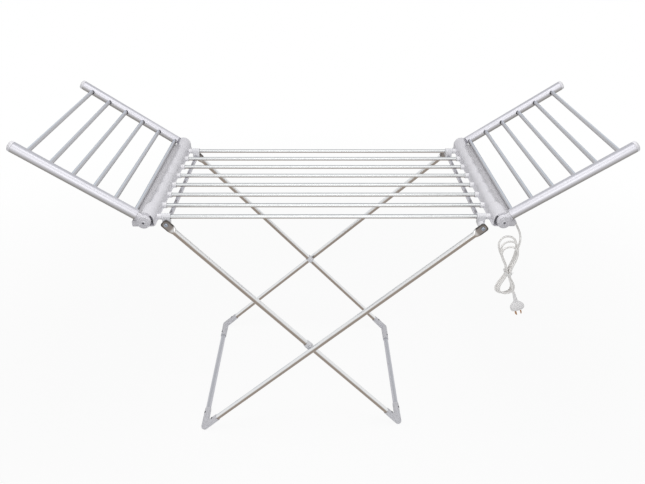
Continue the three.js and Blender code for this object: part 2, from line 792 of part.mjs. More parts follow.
function bracket(side, end) {
  const half = BRACKET_LENGTH / 2;
  const inner = endTubeY - BRACKET_DIAMETER / 2;
  const lugFace = bracketFaceY;
  const parts = [
    rodX(BRACKET_DIAMETER / 2, -half, half, MEDIUM).translate(0, endTubeY, 0),
    prismY(lugShape(), inner, lugFace, COARSE / 2),
  ];
  if (side === RIGHT) {
    const boss = rodY(LUG_DIAMETER / 2 - GAP, lugFace - OVERRUN, tongueBack(side) - GAP, MEDIUM);
    parts.push(boss.translate(0, 0, -PIVOT_DROP));
  }
  const bore = boreRadius(barRadius, MEDIUM);
  const boltBore = boreRadius(BOLT_DIAMETER / 2, COARSE);
  const shaped = cut(join(parts), [
    rodX(bore, -half - OVERRUN, half + OVERRUN, MEDIUM).translate(0, endTubeY, 0),
    rodY(bore, inner - OVERRUN, inner + AXLE_BITE + GAP, MEDIUM).translate(0, 0, -PIVOT_DROP),
    rodY(boltBore, inner, legPlane(side), COARSE).translate(0, 0, -PIVOT_DROP),
  ]);
  const geometry = fromSolid(shaped);
  return end === REAR ? geometry : mirrorY(geometry);
}

// The axle tube under the rack, with the domed pivot bolt in each of its ends
function axle(side) {
  const shoulder = endTubeY - BRACKET_DIAMETER / 2 + AXLE_BITE;
  const seat = legPlane(side) + TONGUE_THICKNESS / 2 + GAP;
  const radius = BOLT_HEAD_DIAMETER / 2;
  const half = [
    [shoulder, barRadius],
    [shoulder, BOLT_DIAMETER / 2],
    [seat, BOLT_DIAMETER / 2],
    [seat, radius],
  ];
  for (let step = 0; step <= DOME_STEPS; step += 1) {
    const turn = (step / DOME_STEPS) * (Math.PI / 2);
    const along = seat + BOLT_HEAD_HEIGHT * (HALF + HALF * Math.sin(turn));
    half.push([along, step === DOME_STEPS ? 0 : radius * Math.cos(turn)]);
  }
  const mirrored = half.map(([along, across]) => [-along, across]).reverse();
  return turnedY([...mirrored, ...half], COARSE);
}

function buildBrackets() {
  for (const side of [LEFT, RIGHT]) {
    for (const end of [FRONT, REAR]) {
      const name = `${sideName(side)}_${endName(end)}_bracket`;
      addPiece(pieces, name, bracket(side, end), 'bracket').position.set(side * bracketX, 0, RACK_HEIGHT);
    }
    addPiece(pieces, `${sideName(side)}_axle`, axle(side), 'satin').position.set(side * bracketX, 0, pivotZ);
  }
}

// Leg frames. In a frame's own axes the legs run along +X from the pivot axis, which is Y

const footX = (side) => (side === LEFT ? INNER_FOOT_X : OUTER_FOOT_X);
const legRun = (side) => Math.abs(footX(side) - side * bracketX);
const legAngle = (side) => Math.atan2(pivotZ - FOOT_HEIGHT, legRun(side));
const legReach = (side) => Math.hypot(pivotZ - FOOT_HEIGHT, legRun(side));
const legTurn = (side) => (side === LEFT ? legAngle(side) : Math.PI - legAngle(side));

// Half width, half thickness and squareness of a leg at a distance from its pivot
function legRing(along, halfWidth, halfThickness, squareness) {
  const ring = [];
  for (let i = 0; i < MEDIUM; i += 1) {
    const turn = ((i + HALF) / MEDIUM) * Math.PI * 2;
    const power = ROUND_SQUARENESS / squareness;
    const across = halfWidth * Math.sign(Math.cos(turn)) * Math.abs(Math.cos(turn)) ** power;
    const deep = halfThickness * Math.sign(Math.sin(turn)) * Math.abs(Math.sin(turn)) ** power;
    ring.push(new THREE.Vector3(along, deep, across));
  }
  return ring;
}

// A round tube whose top is pressed flat into a tongue with rounded corners and a bolt hole
function leg(side, end) {
  const tip = TONGUE_WIDTH / 2;
  const flat = TONGUE_THICKNESS / 2;
  const rings = [];
  for (let step = 0; step < TONGUE_END_STEPS; step += 1) {
    const turn = ((step + HALF) / TONGUE_END_STEPS) * (Math.PI / 2);
    const power = ROUND_SQUARENESS / TONGUE_END_SQUARENESS;
    const along = -TONGUE_OVERHANG * Math.cos(turn) ** power;
    rings.push(legRing(along, tip * Math.sin(turn) ** power, flat, FLAT_SQUARENESS));
  }
  rings.push(legRing(TONGUE_LENGTH, tip, flat, FLAT_SQUARENESS));
  for (let step = 1; step <= TONGUE_BLEND_STEPS; step += 1) {
    const share = step / TONGUE_BLEND_STEPS;
    const ease = THREE.MathUtils.smoothstep(share, 0, 1);
    const width = THREE.MathUtils.lerp(tip, legRadius, ease);
    const thickness = THREE.MathUtils.lerp(flat, legRadius, ease);
    const squareness = THREE.MathUtils.lerp(FLAT_SQUARENESS, ROUND_SQUARENESS, ease);
    rings.push(legRing(TONGUE_LENGTH + TONGUE_BLEND * share, width, thickness, squareness));
  }
  rings.push(legRing(legReach(side) - ELBOW_SETBACK, legRadius, legRadius, ROUND_SQUARENESS));
  const body = loft(rings, (point) => new THREE.Vector2(point.y, point.z));
  const hole = rodY(boreRadius(BOLT_DIAMETER / 2, COARSE), -TONGUE_THICKNESS, TONGUE_THICKNESS, COARSE);
  const pressed = cut(toSolid(body), [hole]);
  return fromSolid(side === LEFT ? pressed.add(toSolid(crossingClip(end))) : pressed);
}

// An elbow with two slightly tapered sleeves and a flat that stands on the floor
function elbow(side, end) {
  const reach = legReach(side);
  const corner = ELBOW_DIAMETER / 2;
  const mouth = ELBOW_MOUTH_DIAMETER / 2;
  const legSleeve = turnedX(
    [
      [reach - ELBOW_LEG_SLEEVE, 0],
      [reach - ELBOW_LEG_SLEEVE, mouth],
      [reach, corner],
      [reach, 0],
    ],
    FINE,
  );
  const footSleeve = turnedY(
    [
      [-ELBOW_FOOT_SLEEVE, 0],
      [-ELBOW_FOOT_SLEEVE, mouth],
      [0, corner],
      [0, 0],
    ],
    FINE,
  );
  const ball = new THREE.SphereGeometry(corner, FINE, COARSE);
  const bore = boreRadius(legRadius, MEDIUM);
  const setback = ELBOW_SETBACK - GAP;
  const floorCut = new THREE.BoxGeometry(ELBOW_LEG_SLEEVE, 2 * ELBOW_FOOT_SLEEVE, ELBOW_DIAMETER);
  floorCut.translate(0, 0, -FOOT_HEIGHT - ELBOW_DIAMETER / 2);
  floorCut.rotateY(-legTurn(side));
  floorCut.translate(reach, 0, 0);
  const shaped = cut(join([legSleeve, footSleeve.translate(reach, 0, 0), ball.translate(reach, 0, 0)]), [
    rodX(bore, reach - ELBOW_LEG_SLEEVE - OVERRUN, reach - setback, MEDIUM),
    rodY(bore, -ELBOW_FOOT_SLEEVE - OVERRUN, -setback, MEDIUM).translate(reach, 0, 0),
    floorCut,
  ]);
  const geometry = fromSolid(shaped);
  return (end === REAR ? geometry : mirrorY(geometry)).translate(0, end * legPlane(side), 0);
}

// The clip grips the inner leg just above the crossing and bears against the outer leg
function crossingReach() {
  const innerSlope = Math.tan(legAngle(LEFT));
  const outerSlope = Math.tan(legAngle(RIGHT));
  const run = (2 * bracketX * outerSlope) / (innerSlope + outerSlope);
  return run / Math.cos(legAngle(LEFT));
}

function crossingClip(end) {
  const middle = crossingReach() - CLIP_OFFSET;
  const half = CLIP_LENGTH / 2;
  const padFace = LEG_PLANE_STEP - legRadius - GAP;
  const pad = new THREE.BoxGeometry(CLIP_LENGTH, padFace, CLIP_PAD_WIDTH);
  const sleeve = rodX(CLIP_DIAMETER / 2, middle - half, middle + half, FINE);
  const whole = fromSolid(join([sleeve, pad.translate(middle, padFace / 2, 0)]));
  return end === REAR ? whole : mirrorY(whole);
}

function buildLegFrame(side, name) {
  const group = new THREE.Group();
  group.position.set(side * bracketX, 0, pivotZ);
  group.rotation.set(0, legTurn(side), 0);
  pieces.add(group);
  for (const end of [FRONT, REAR]) {
    const mesh = addPiece(group, `${name}_${endName(end)}_leg`, leg(side, end), 'leg');
    mesh.position.y = end * legPlane(side);
    addPiece(group, `${name}_${endName(end)}_elbow`, elbow(side, end), 'elbow');
  }
  const footHalf = legPlane(side) - ELBOW_SETBACK;
  const foot = pipeY(legRadius, legRadius - LEG_WALL, -footHalf, footHalf, MEDIUM);
  addPiece(group, `${name}_foot_tube`, foot.translate(legReach(side), 0, 0), 'leg');
}

// Mains cord

const outletX = hingeX + HOUSING_OUTREACH;
const outletY = OUTLET_INSET - housingHalf;
const outletZ = hingeZ - OUTLET_DROP;
const outletOut = new THREE.Vector3(
  Math.cos(OUTLET_TILT) * Math.cos(OUTLET_TURN),
  -Math.cos(OUTLET_TILT) * Math.sin(OUTLET_TURN),
  -Math.sin(OUTLET_TILT),
);
const cordRadius = CORD_DIAMETER / 2;

// A flange on the housing's outboard wall, and a strain relief that leans down and forwards from it
function outlet() {
  const neck = OUTLET_NECK_DIAMETER / 2;
  const inside = -HOUSING_WALL - OUTLET_TAIL;
  const flange = turnedX(
    [
      [inside, 0],
      [inside, neck],
      [GAP, neck],
      [GAP, OUTLET_DIAMETER / 2],
      [OUTLET_FLANGE, OUTLET_DIAMETER / 2],
      [OUTLET_FLANGE, 0],
    ],
    MEDIUM,
  );
  const relief = turnedX(
    [
      [0, 0],
      [0, neck],
      [OUTLET_RELIEF, OUTLET_TIP_DIAMETER / 2],
      [OUTLET_RELIEF, 0],
    ],
    MEDIUM,
  );
  const knee = new THREE.SphereGeometry(neck, MEDIUM, COARSE);
  const behind = new THREE.BoxGeometry(OUTLET_DIAMETER, 2 * OUTLET_DIAMETER, 2 * OUTLET_DIAMETER);
  behind.translate(GAP - OUTLET_FLANGE - OUTLET_DIAMETER / 2, 0, 0);
  const stem = fromSolid(cut(join([knee, relief.rotateY(OUTLET_TILT).rotateZ(-OUTLET_TURN)]), [behind]));
  const whole = join([flange, stem.translate(OUTLET_FLANGE, 0, 0)]);
  return fromSolid(whole).translate(outletX, outletY, outletZ);
}

// One place on the hank for a number of turns; 0 is a top and a half is a bottom
function hankPoint(turns) {
  const angle = turns * Math.PI * 2;
  const rise = Math.cos(angle);
  const top = Math.round(turns);
  const bottom = Math.min(Math.floor(turns), HANK_LOOPS - 1);
  const upper = rise > 0;
  const open = Math.sqrt(rise * rise + HANK_SOFTNESS * HANK_SOFTNESS) - HANK_SOFTNESS;
  const shift = THREE.MathUtils.smoothstep(Math.abs(rise), 0, 1);
  const width = HANK_WIDTH * (upper ? HANK_TOP_WIDTH_SHARES[top] : HANK_BOTTOM_WIDTH_SHARES[bottom]);
  const height = upper ? HANK_HEIGHT * HANK_TOP_SHARES[top] : HANK_DROP * HANK_BOTTOM_SHARES[bottom];
  const aside = upper ? HANK_LEAN * HANK_LEAN_SHARES[top] : HANK_SPLAY * HANK_SPLAY_SHARES[bottom];
  const x = hankX + Math.sin(angle) * (HANK_WAIST / 2 + width * open) + aside * shift;
  return new THREE.Vector3(x, hankY - HANK_LAYER * turns, hankZ + height * rise);
}

function hankRoute() {
  const from = HANK_START_TURN;
  const to = HANK_LOOPS + HANK_END_TURN;
  const steps = Math.round((to - from) * HANK_STEPS_PER_LOOP);
  const points = [];
  for (let i = 0; i <= steps; i += 1) points.push(hankPoint(from + ((to - from) * i) / steps));
  const first = points[0].clone().sub(points[1]).normalize();
  const last = points[steps].clone().sub(points[steps - 1]).normalize();
  const tailEnd = plugTop.clone().addScaledVector(plugDown, -GAP);
  const tail = freeStretch(
    [
      points[steps],
      points[steps].clone().addScaledVector(last, CORD_DIAMETER),
      tailEnd.clone().addScaledVector(plugDown, -CORD_DIAMETER),
      tailEnd,
    ],
    HANK_TAIL_STEPS,
  );
  return [points[0].clone().addScaledVector(first, CORD_DIAMETER), ...points, ...tail.slice(1)];
}

// Least gap of a route to itself, between points more than a few diameters apart along it
function leastGap(points, diameter) {
  const along = [0];
  for (let i = 1; i < points.length; i += 1) along.push(along[i - 1] + points[i].distanceTo(points[i - 1]));
  const fine = [];
  const spacing = diameter * PROBE_SHARE;
  for (let i = 1; i < points.length; i += 1) {
    const count = Math.ceil((along[i] - along[i - 1]) / spacing);
    for (let step = 0; step < count; step += 1) {
      const share = step / count;
      const place = new THREE.Vector3().lerpVectors(points[i - 1], points[i], share);
      fine.push({ place, reach: THREE.MathUtils.lerp(along[i - 1], along[i], share) });
    }
  }
  let least = Infinity;
  for (let i = 0; i < fine.length; i += 1) {
    for (let j = i + 1; j < fine.length; j += 1) {
      if (fine[j].reach - fine[i].reach > NEAR_DIAMETERS * diameter) {
        least = Math.min(least, fine[i].place.distanceTo(fine[j].place));
      }
    }
  }
  return { gap: least - diameter, length: along[along.length - 1] };
}

// A smooth stretch between chosen points, with straight ends square to what they meet
function freeStretch(points, steps) {
  const curve = new THREE.CatmullRomCurve3(points, false, 'centripetal');
  return curve.getSpacedPoints(steps);
}

const plugDown = new THREE.Vector3(Math.sin(PLUG_TILT), 0, -Math.cos(PLUG_TILT));
const plugY = hankY - HANK_LAYER * (HANK_LOOPS + HANK_END_TURN) - CORD_DIAMETER;
const plugTop = new THREE.Vector3(hingeX + PLUG_OUTREACH, plugY, hingeZ - PLUG_FALL);

function buildCord() {
  const hank = hankRoute();
  const start = hank[0];
  const startOut = start.clone().sub(hank[1]).normalize();
  const flangeFace = new THREE.Vector3(outletX + OUTLET_FLANGE, outletY, outletZ);
  const leadStart = flangeFace.addScaledVector(outletOut, OUTLET_RELIEF + GAP);
  const leadEnd = start.clone().addScaledVector(startOut, GAP);
  const lead = freeStretch(
    [
      leadStart,
      leadStart.clone().addScaledVector(outletOut, LEAD_STRAIGHT),
      ...CORD_LEAD_OFFSETS.map(([x, y, z]) => new THREE.Vector3(hingeX + x, hankY + y, hingeZ + z)),
      leadEnd.clone().addScaledVector(startOut, CORD_DIAMETER),
      leadEnd,
    ],
    LEAD_STEPS,
  );
  addPiece(pieces, 'cord_outlet', outlet(), 'collar');
  addPiece(pieces, 'cord_lead', routeTube(lead, cordRadius, CORD_SIDES), 'cord');
  addPiece(pieces, 'cord_hank', routeTube(hank, cordRadius, HANK_SIDES), 'cord');
  addPiece(pieces, 'cord_tie', cordTie(), 'cord');
  const whole = leastGap([...lead, ...hank], CORD_DIAMETER);
  const alone = leastGap(hank, CORD_DIAMETER);
  console.log(`hank: least gap to itself ${alone.gap.toFixed(2)} mm`);
  console.log(`cord: length ${whole.length.toFixed(0)} mm, least gap ${whole.gap.toFixed(2)} mm`);
}

// A band round the strands at the waist, with its two twisted ends
function cordTie() {
  const firstY = hankY - HANK_LAYER * TIE_TURN;
  const lastY = hankY - HANK_LAYER * (HANK_LOOPS + TIE_TURN);
  const middleY = (firstY + lastY) / 2;
  const halfX = HANK_WAIST / 2 + cordRadius + TIE_EASE;
  const halfY = (firstY - lastY) / 2 + cordRadius + TIE_EASE;
  const band = roundedRectangle(halfX + TIE_THICKNESS, halfY + TIE_THICKNESS, cordRadius + TIE_THICKNESS);
  band.holes.push(roundedRectangle(halfX, halfY, cordRadius));
  const options = { depth: TIE_HEIGHT, bevelEnabled: false, curveSegments: CORNER_STEPS };
  const ring = new THREE.ExtrudeGeometry(band, options).translate(0, 0, -TIE_HEIGHT / 2);
  const reach = halfY + TIE_THICKNESS / 2;
  const tails = [LEFT, RIGHT].map((side) => {
    const radius = TIE_TAIL_DIAMETER / 2;
    const tail = new THREE.CylinderGeometry(radius, radius, TIE_TAIL, CABLE_SIDES);
    return tail.translate(0, TIE_TAIL / 2, 0).rotateZ(TIE_TAIL_ANGLES[side]).translate(0, -reach, 0);
  });
  const whole = join([ring, ...tails]);
  return fromSolid(whole).translate(hankX, middleY, hankZ);
}

// The plug: a tapered strain relief, a fan-shaped body and two flat pins set in a V

function plugBody() {
  const neck = RELIEF_BASE_DIAMETER / 2;
  const root = -RELIEF_LENGTH - PLUG_LENGTH * RELIEF_ROOT_SHARE;
  const wide = PLUG_WIDTH / 2 - PLUG_BEVEL;
  const low = PLUG_LENGTH - PLUG_BEVEL;
  const shape = new THREE.Shape();
  shape.moveTo(-neck + PLUG_BEVEL, -PLUG_BEVEL);
  shape.bezierCurveTo(-neck, -low * HALF, -wide, -low * HALF, -wide, -low * PLUG_SHOULDER_SHARE);
  shape.bezierCurveTo(-wide, -low, -wide * HALF, -low, 0, -low);
  shape.bezierCurveTo(wide * HALF, -low, wide, -low, wide, -low * PLUG_SHOULDER_SHARE);
  shape.bezierCurveTo(wide, -low * HALF, neck, -low * HALF, neck - PLUG_BEVEL, -PLUG_BEVEL);
  const body = new THREE.ExtrudeGeometry(shape, {
    depth: PLUG_THICKNESS - 2 * PLUG_BEVEL,
    bevelEnabled: true,
    bevelThickness: PLUG_BEVEL,
    bevelSize: PLUG_BEVEL,
    bevelSegments: PLUG_BEVEL_STEPS,
    curveSegments: PLUG_CURVE_STEPS,
  });
  body.translate(0, 0, -PLUG_THICKNESS / 2 + PLUG_BEVEL).rotateX(Math.PI / 2);
  body.translate(0, 0, -RELIEF_LENGTH);
  const relief = new THREE.LatheGeometry(
    [
      new THREE.Vector2(0, 0),
      new THREE.Vector2(RELIEF_TOP_DIAMETER / 2, 0),
      new THREE.Vector2(neck, -RELIEF_LENGTH),
      new THREE.Vector2(neck, root),
      new THREE.Vector2(0, root),
    ],
    COARSE,
  ).rotateX(Math.PI / 2);
  return fromSolid(join([body, relief]));
}

function plugPin(side) {
  const root = -RELIEF_LENGTH - PLUG_LENGTH / 2;
  const length = PIN_BLADE_LENGTH + PLUG_LENGTH / 2;
  const blade = new THREE.BoxGeometry(PIN_BLADE_THICKNESS, PIN_BLADE_WIDTH, length);
  blade.rotateZ(side * PIN_BLADE_ANGLE);
  return blade.translate((side * PIN_SPACING) / 2, 0, root - length / 2);
}

function buildPlug() {
  const group = new THREE.Group();
  group.position.copy(plugTop);
  group.rotation.y = -PLUG_TILT;
  pieces.add(group);
  const whole = join([plugBody(), plugPin(LEFT), plugPin(RIGHT)]);
  addPiece(group, 'cord_plug', fromSolid(whole), 'cord');
}

for (const side of [LEFT, RIGHT]) {
  buildHousing(side);
  buildWing(side);
}
buildTubes();
buildRackCable();
buildBrackets();
buildLegFrame(LEFT, 'inner');
buildLegFrame(RIGHT, 'outer');
buildCord();
buildPlug();

export default pieces;
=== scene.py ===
"""Looks of a heated clothes airer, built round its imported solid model.

Lengths are in metres. X runs along the rack, Y from front to rear and Z up from the floor.
"""

from __future__ import annotations

import json
import logging
import math
from dataclasses import dataclass
from enum import Enum
from functools import cache
from typing import Any, Callable, Iterable, Sequence

import bmesh
import bpy
from mathutils import Matrix, Vector

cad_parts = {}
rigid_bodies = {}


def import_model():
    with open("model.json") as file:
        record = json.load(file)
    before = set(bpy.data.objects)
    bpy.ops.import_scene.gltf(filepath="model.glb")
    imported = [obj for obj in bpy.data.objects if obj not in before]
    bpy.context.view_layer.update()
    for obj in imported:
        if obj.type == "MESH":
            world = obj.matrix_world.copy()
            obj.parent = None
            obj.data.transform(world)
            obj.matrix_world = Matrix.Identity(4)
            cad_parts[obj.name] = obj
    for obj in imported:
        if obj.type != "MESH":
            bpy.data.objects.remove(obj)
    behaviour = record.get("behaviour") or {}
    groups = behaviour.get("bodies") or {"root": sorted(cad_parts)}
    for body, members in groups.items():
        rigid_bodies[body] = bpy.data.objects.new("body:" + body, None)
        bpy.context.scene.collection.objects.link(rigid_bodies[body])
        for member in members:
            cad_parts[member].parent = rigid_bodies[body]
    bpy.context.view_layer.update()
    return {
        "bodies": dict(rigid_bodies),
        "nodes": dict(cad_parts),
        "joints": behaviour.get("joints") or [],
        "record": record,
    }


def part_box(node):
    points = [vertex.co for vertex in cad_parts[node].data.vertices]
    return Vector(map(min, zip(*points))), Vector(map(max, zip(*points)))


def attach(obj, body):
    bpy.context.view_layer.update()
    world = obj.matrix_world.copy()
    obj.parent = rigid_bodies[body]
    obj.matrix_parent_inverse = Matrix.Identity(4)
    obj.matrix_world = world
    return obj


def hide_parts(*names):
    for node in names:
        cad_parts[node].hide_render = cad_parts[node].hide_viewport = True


LOG = logging.getLogger("airer")
MM = 0.001
TINY = 1e-7
WELD = 0.002 * MM
OVERRUN = 4 * MM
FULL_TURN = 2 * math.pi
STEPS_PER_SPAN = 24
WHITE = (1.0, 1.0, 1.0)
Pair = tuple[float, float]
Triple = tuple[float, float, float]
Inputs = dict[str | int, Any]

# Sizes that several sub-assemblies share
GAP = 0.3 * MM
TUBE_RADIUS = 5.5 * MM
TUBE_WALL = 1.0 * MM
TUBE_RIM = 0.3 * MM
PIN_RADIUS = 3 * MM
SCREW_RECESS = 0.9 * MM


class Way(Enum):
    """A direction, as a sign along its axis."""

    @property
    def label(self) -> str:
        """The direction's word in piece names."""
        return self.name.lower()


class Side(Way):
    """The two ends of the rack, along X."""

    LEFT = -1
    RIGHT = 1


class End(Way):
    """Front and rear, along Y."""

    FRONT = -1
    REAR = 1


# Shader expressions


def operators(kind: str) -> tuple[Callable[..., Signal], Callable[..., Signal]]:
    """A Math node's operator and its reflected form.

    Args:
        kind: the node's operation.

    Returns:
        Both operators.
    """

    def straight(self: Signal, other: Signal | float) -> Signal:
        """The result with the other value on the right."""
        return self.graph.maths(kind, self, other)

    def reflected(self: Signal, other: float) -> Signal:
        """The result with the other value on the left."""
        return self.graph.maths(kind, other, self)

    return straight, reflected


@dataclass
class Signal:
    """An output socket that takes part in arithmetic on values."""

    graph: ShaderGraph
    socket: bpy.types.NodeSocket

    __add__, __radd__ = operators("ADD")
    __sub__, __rsub__ = operators("SUBTRACT")
    __mul__, __rmul__ = operators("MULTIPLY")
    __pow__, __rpow__ = operators("POWER")


class ShaderGraph:
    """A material's or the world's node tree, built from expressions."""

    def __init__(self, owner: bpy.types.Material | bpy.types.World) -> None:
        """Takes over the owner's tree and clears it.

        Args:
            owner: what the tree belongs to.
        """
        owner.use_nodes = True
        self.tree = owner.node_tree
        self.tree.nodes.clear()

    def node(self, kind: str, inputs: Inputs | None = None, **settings: Any) -> bpy.types.Node:
        """Adds a node of any type.

        Args:
            kind: the node's type name.
            inputs: socket names or numbers with a value or a Signal for each.
            settings: properties that are set first.

        Returns:
            The new node.
        """
        made = self.tree.nodes.new(kind)
        for key, value in settings.items():
            setattr(made, key, value)
        for key, value in (inputs or {}).items():
            socket = made.inputs[key]
            if isinstance(value, Signal):
                self.tree.links.new(value.socket, socket)
            else:
                socket.default_value = (*value, 1.0) if socket.type == "RGBA" else value
        return made

    def signal(self, kind: str, output: str | int, inputs: Inputs | None = None, **settings: Any) -> Signal:
        """Adds a node and gives one of its outputs."""
        return Signal(self, self.node(kind, inputs, **settings).outputs[output])

    def maths(self, operation: str, *values: Signal | float) -> Signal:
        """Adds a Math node."""
        return self.signal("ShaderNodeMath", 0, dict(enumerate(values)), operation=operation)

    def place(self) -> Signal:
        """The place in the object's own axes."""
        return self.signal("ShaderNodeTexCoord", "Object")

    def part(self, vector: Signal, axis: str) -> Signal:
        """One part of a vector."""
        return self.signal("ShaderNodeSeparateXYZ", axis, {0: vector})

    def background_ray(self) -> Signal:
        """Tells the rays that show the background from the others.

        Returns:
            1 for what is seen straight on, in metal or through glass, and 0 elsewhere.
        """
        outputs = self.node("ShaderNodeLightPath").outputs
        seen, glossy, through = (
            Signal(self, outputs[f"Is {kind} Ray"]) for kind in ("Camera", "Glossy", "Transmission")
        )
        return self.maths("MINIMUM", seen + glossy + through, 1.0)

    def noise(self, vector: Signal, scale: float, detail: float = 2.0, roughness: float = 0.5) -> Signal:
        """Adds a noise of about 0.5 on average, with a scale in features per metre."""
        inputs = {"Vector": vector, "Scale": scale, "Detail": detail, "Roughness": roughness}
        return self.signal("ShaderNodeTexNoise", "Fac", inputs)

    def streaks(self, vector: Signal, along: float, across: float, detail: float) -> Signal:
        """Adds a noise drawn out along X, with scales along and across it."""
        scale = {0: vector, 1: (along, across, across)}
        return self.noise(self.signal("ShaderNodeVectorMath", 0, scale, operation="MULTIPLY"), 1.0, detail)

    def blend(self, factor: Signal | float, low: Any, high: Any, kind: str = "MIX") -> Signal:
        """Mixes two colours: a factor of 0 gives the low one and 1 the high one, or their product."""
        inputs = {0: factor, 6: low, 7: high}
        return self.signal("ShaderNodeMix", 2, inputs, data_type="RGBA", blend_type=kind)

    def eased(self, value: Signal, start: float, stop: float, low: float = 0.0, high: float = 1.0) -> Signal:
        """A smooth step from the low value at the start to the high one at the stop."""
        inputs = {"Value": value, "From Min": start, "From Max": stop, "To Min": low, "To Max": high}
        return self.signal("ShaderNodeMapRange", 0, inputs, interpolation_type="SMOOTHSTEP")

    def bump(self, height: Signal, distance: float, strength: float) -> Signal:
        """Adds a bump, whose distance is the depth in metres of a height of 1."""
        inputs = {"Height": height, "Distance": distance, "Strength": strength}
        return self.signal("ShaderNodeBump", "Normal", inputs)


def lighter(colour: Triple, share: float) -> Triple:
    """A colour with each part scaled and held below 1."""
    return tuple(min(1.0, part * share) for part in colour)


# Finishes


@dataclass(frozen=True)
class Finish:
    """What every finish states: its name, the record's slot and its colour."""

    name: str
    slot: str
    colour: Triple

    def paint(self, graph: ShaderGraph) -> Inputs:
        """The inputs that a Principled shader takes from the graph."""
        raise NotImplementedError

    @cache
    def material(self) -> bpy.types.Material:
        """Makes the material when it is first asked for.

        Returns:
            The finish's one material.
        """
        made = bpy.data.materials.new(self.name)
        graph = ShaderGraph(made)
        shader = graph.signal("ShaderNodeBsdfPrincipled", 0, self.paint(graph))
        graph.node("ShaderNodeOutputMaterial", {"Surface": shader})
        return made


@dataclass(frozen=True)
class MouldedPlastic(Finish):
    """Injection-moulded plastic: a fine spark-eroded grain over slow unevenness of the wall."""

    roughness: float
    grain_depth: float = 0.008 * MM
    grain_scale: float = 2600.0
    cloud_scale: float = 34.0
    cloud_share: float = 0.05

    def paint(self, graph: ShaderGraph) -> Inputs:
        """Grain, specks and clouds.

        Args:
            graph: where the nodes go.

        Returns:
            The shader's inputs.
        """
        place = graph.place()
        cloud = graph.noise(place, self.cloud_scale, 3.0, 0.55)
        grain = graph.noise(place, self.grain_scale, 2.0, 0.6)
        speck = graph.noise(place, self.grain_scale * 0.3, 1.0)
        low, high = (lighter(self.colour, 1.0 + share) for share in (-self.cloud_share, self.cloud_share))
        return {
            "Base Color": graph.blend(cloud, low, high),
            "Roughness": self.roughness + 0.12 * (cloud - 0.5) + 0.08 * (speck - 0.5),
            "Normal": graph.bump(grain + 0.4 * speck, self.grain_depth, 0.6),
        }


@dataclass(frozen=True)
class DrawnAluminium(Finish):
    """Drawn aluminium tube: fine lines along the tube, kept in each tube's own axes.

    The underside and the top take painted tones, mostly duller, set by which way the surface faces in the
    world: a painted reflection of the floor and surroundings. A leg's pressed end is painted darker, darkest
    towards its rim.
    """

    roughness: float
    smudge_share: float = 0.08
    line_share: float = 0.07
    line_depth: float = 0.003 * MM
    # Painted reflection: the underside and top tones, chosen by the height of the world normal, stand in for
    # the floor and surroundings seen in the metal.
    under: Triple = (0.3, 0.27, 0.25)
    under_level: float = -0.2
    under_spread: float = 0.45
    over: Triple = (0.45, 0.46, 0.49)
    over_level: float = 0.84
    over_spread: float = 0.12
    # A leg's pressed end is painted darker, darkest towards its rim.
    pressed: Triple | None = None
    pressed_reach: Pair = (22 * MM, 13 * MM)
    rim_reach: Pair = (7.5 * MM, 11 * MM)
    rim_share: float = 0.22

    def paint(self, graph: ShaderGraph) -> Inputs:
        """Lines, smudges, the painted reflection round the tube and the pressed end.

        Args:
            graph: where the nodes go.

        Returns:
            The shader's inputs.
        """
        grain = graph.signal("ShaderNodeAttribute", "Vector", attribute_name="grain")
        broad = graph.streaks(grain, 2.0, 160.0, 1.0)
        lines = 0.4 * graph.streaks(grain, 6.0, 900.0, 2.0) + 0.6 * broad
        smudge = graph.noise(graph.place(), 26.0, 3.0, 0.6)
        # Painted reflection: the underside and the top are tinted by which way the surface faces in the
        # world, not by any lamp.
        level = graph.part(graph.signal("ShaderNodeNewGeometry", "Normal"), "Z") + 0.1 * (smudge - 0.5)
        below = graph.eased(level, self.under_level + self.under_spread, self.under_level - self.under_spread)
        above = graph.eased(level, self.over_level, self.over_level + self.over_spread)
        colour = graph.blend(below, graph.blend(above, self.colour, self.over), self.under)
        rough: Signal | float = self.roughness
        # The pressed end is painted darker, and darker still towards its rim.
        if self.pressed:
            along = graph.part(grain, "X") + 6 * MM * (smudge - 0.5)
            press = graph.eased(along, *self.pressed_reach)
            across, beyond = graph.part(grain, "Z"), graph.maths("MINIMUM", along, 0.0)
            rim = graph.eased((across * across + beyond * beyond) ** 0.5, *self.rim_reach)
            darker_rim = graph.blend(rim, self.pressed, lighter(self.pressed, self.rim_share))
            colour = graph.blend(press * (0.8 + 0.5 * (smudge - 0.3)), colour, darker_rim)
            rough = rough + 0.1 * press
        shade = graph.blend(lines, (1 - self.line_share,) * 3, (1 + self.line_share,) * 3)
        return {
            "Base Color": graph.blend(1.0, colour, shade, "MULTIPLY"),
            "Metallic": 1.0,
            "Roughness": rough + 0.05 * (broad - 0.5) + self.smudge_share * (smudge - 0.5),
            "Normal": graph.bump(lines, self.line_depth, 0.4),
        }


@dataclass(frozen=True)
class BareMetal(Finish):
    """Small turned or pressed metal, such as a screw, a bolt or a plug's pin."""

    roughness: float
    stain: Triple

    def paint(self, graph: ShaderGraph) -> Inputs:
        """Stains and a mottled gloss.

        Args:
            graph: where the nodes go.

        Returns:
            The shader's inputs.
        """
        mottle = graph.noise(graph.place(), 420.0, 3.0, 0.6)
        mask = graph.maths("SMOOTH_MIN", mottle * 0.5, 0.3, 0.1)
        return {
            "Base Color": graph.blend(mask, self.colour, self.stain),
            "Metallic": 1.0,
            "Roughness": self.roughness + 0.2 * (mottle - 0.5),
            "Normal": graph.bump(mottle, 0.03 * MM, 0.4),
        }


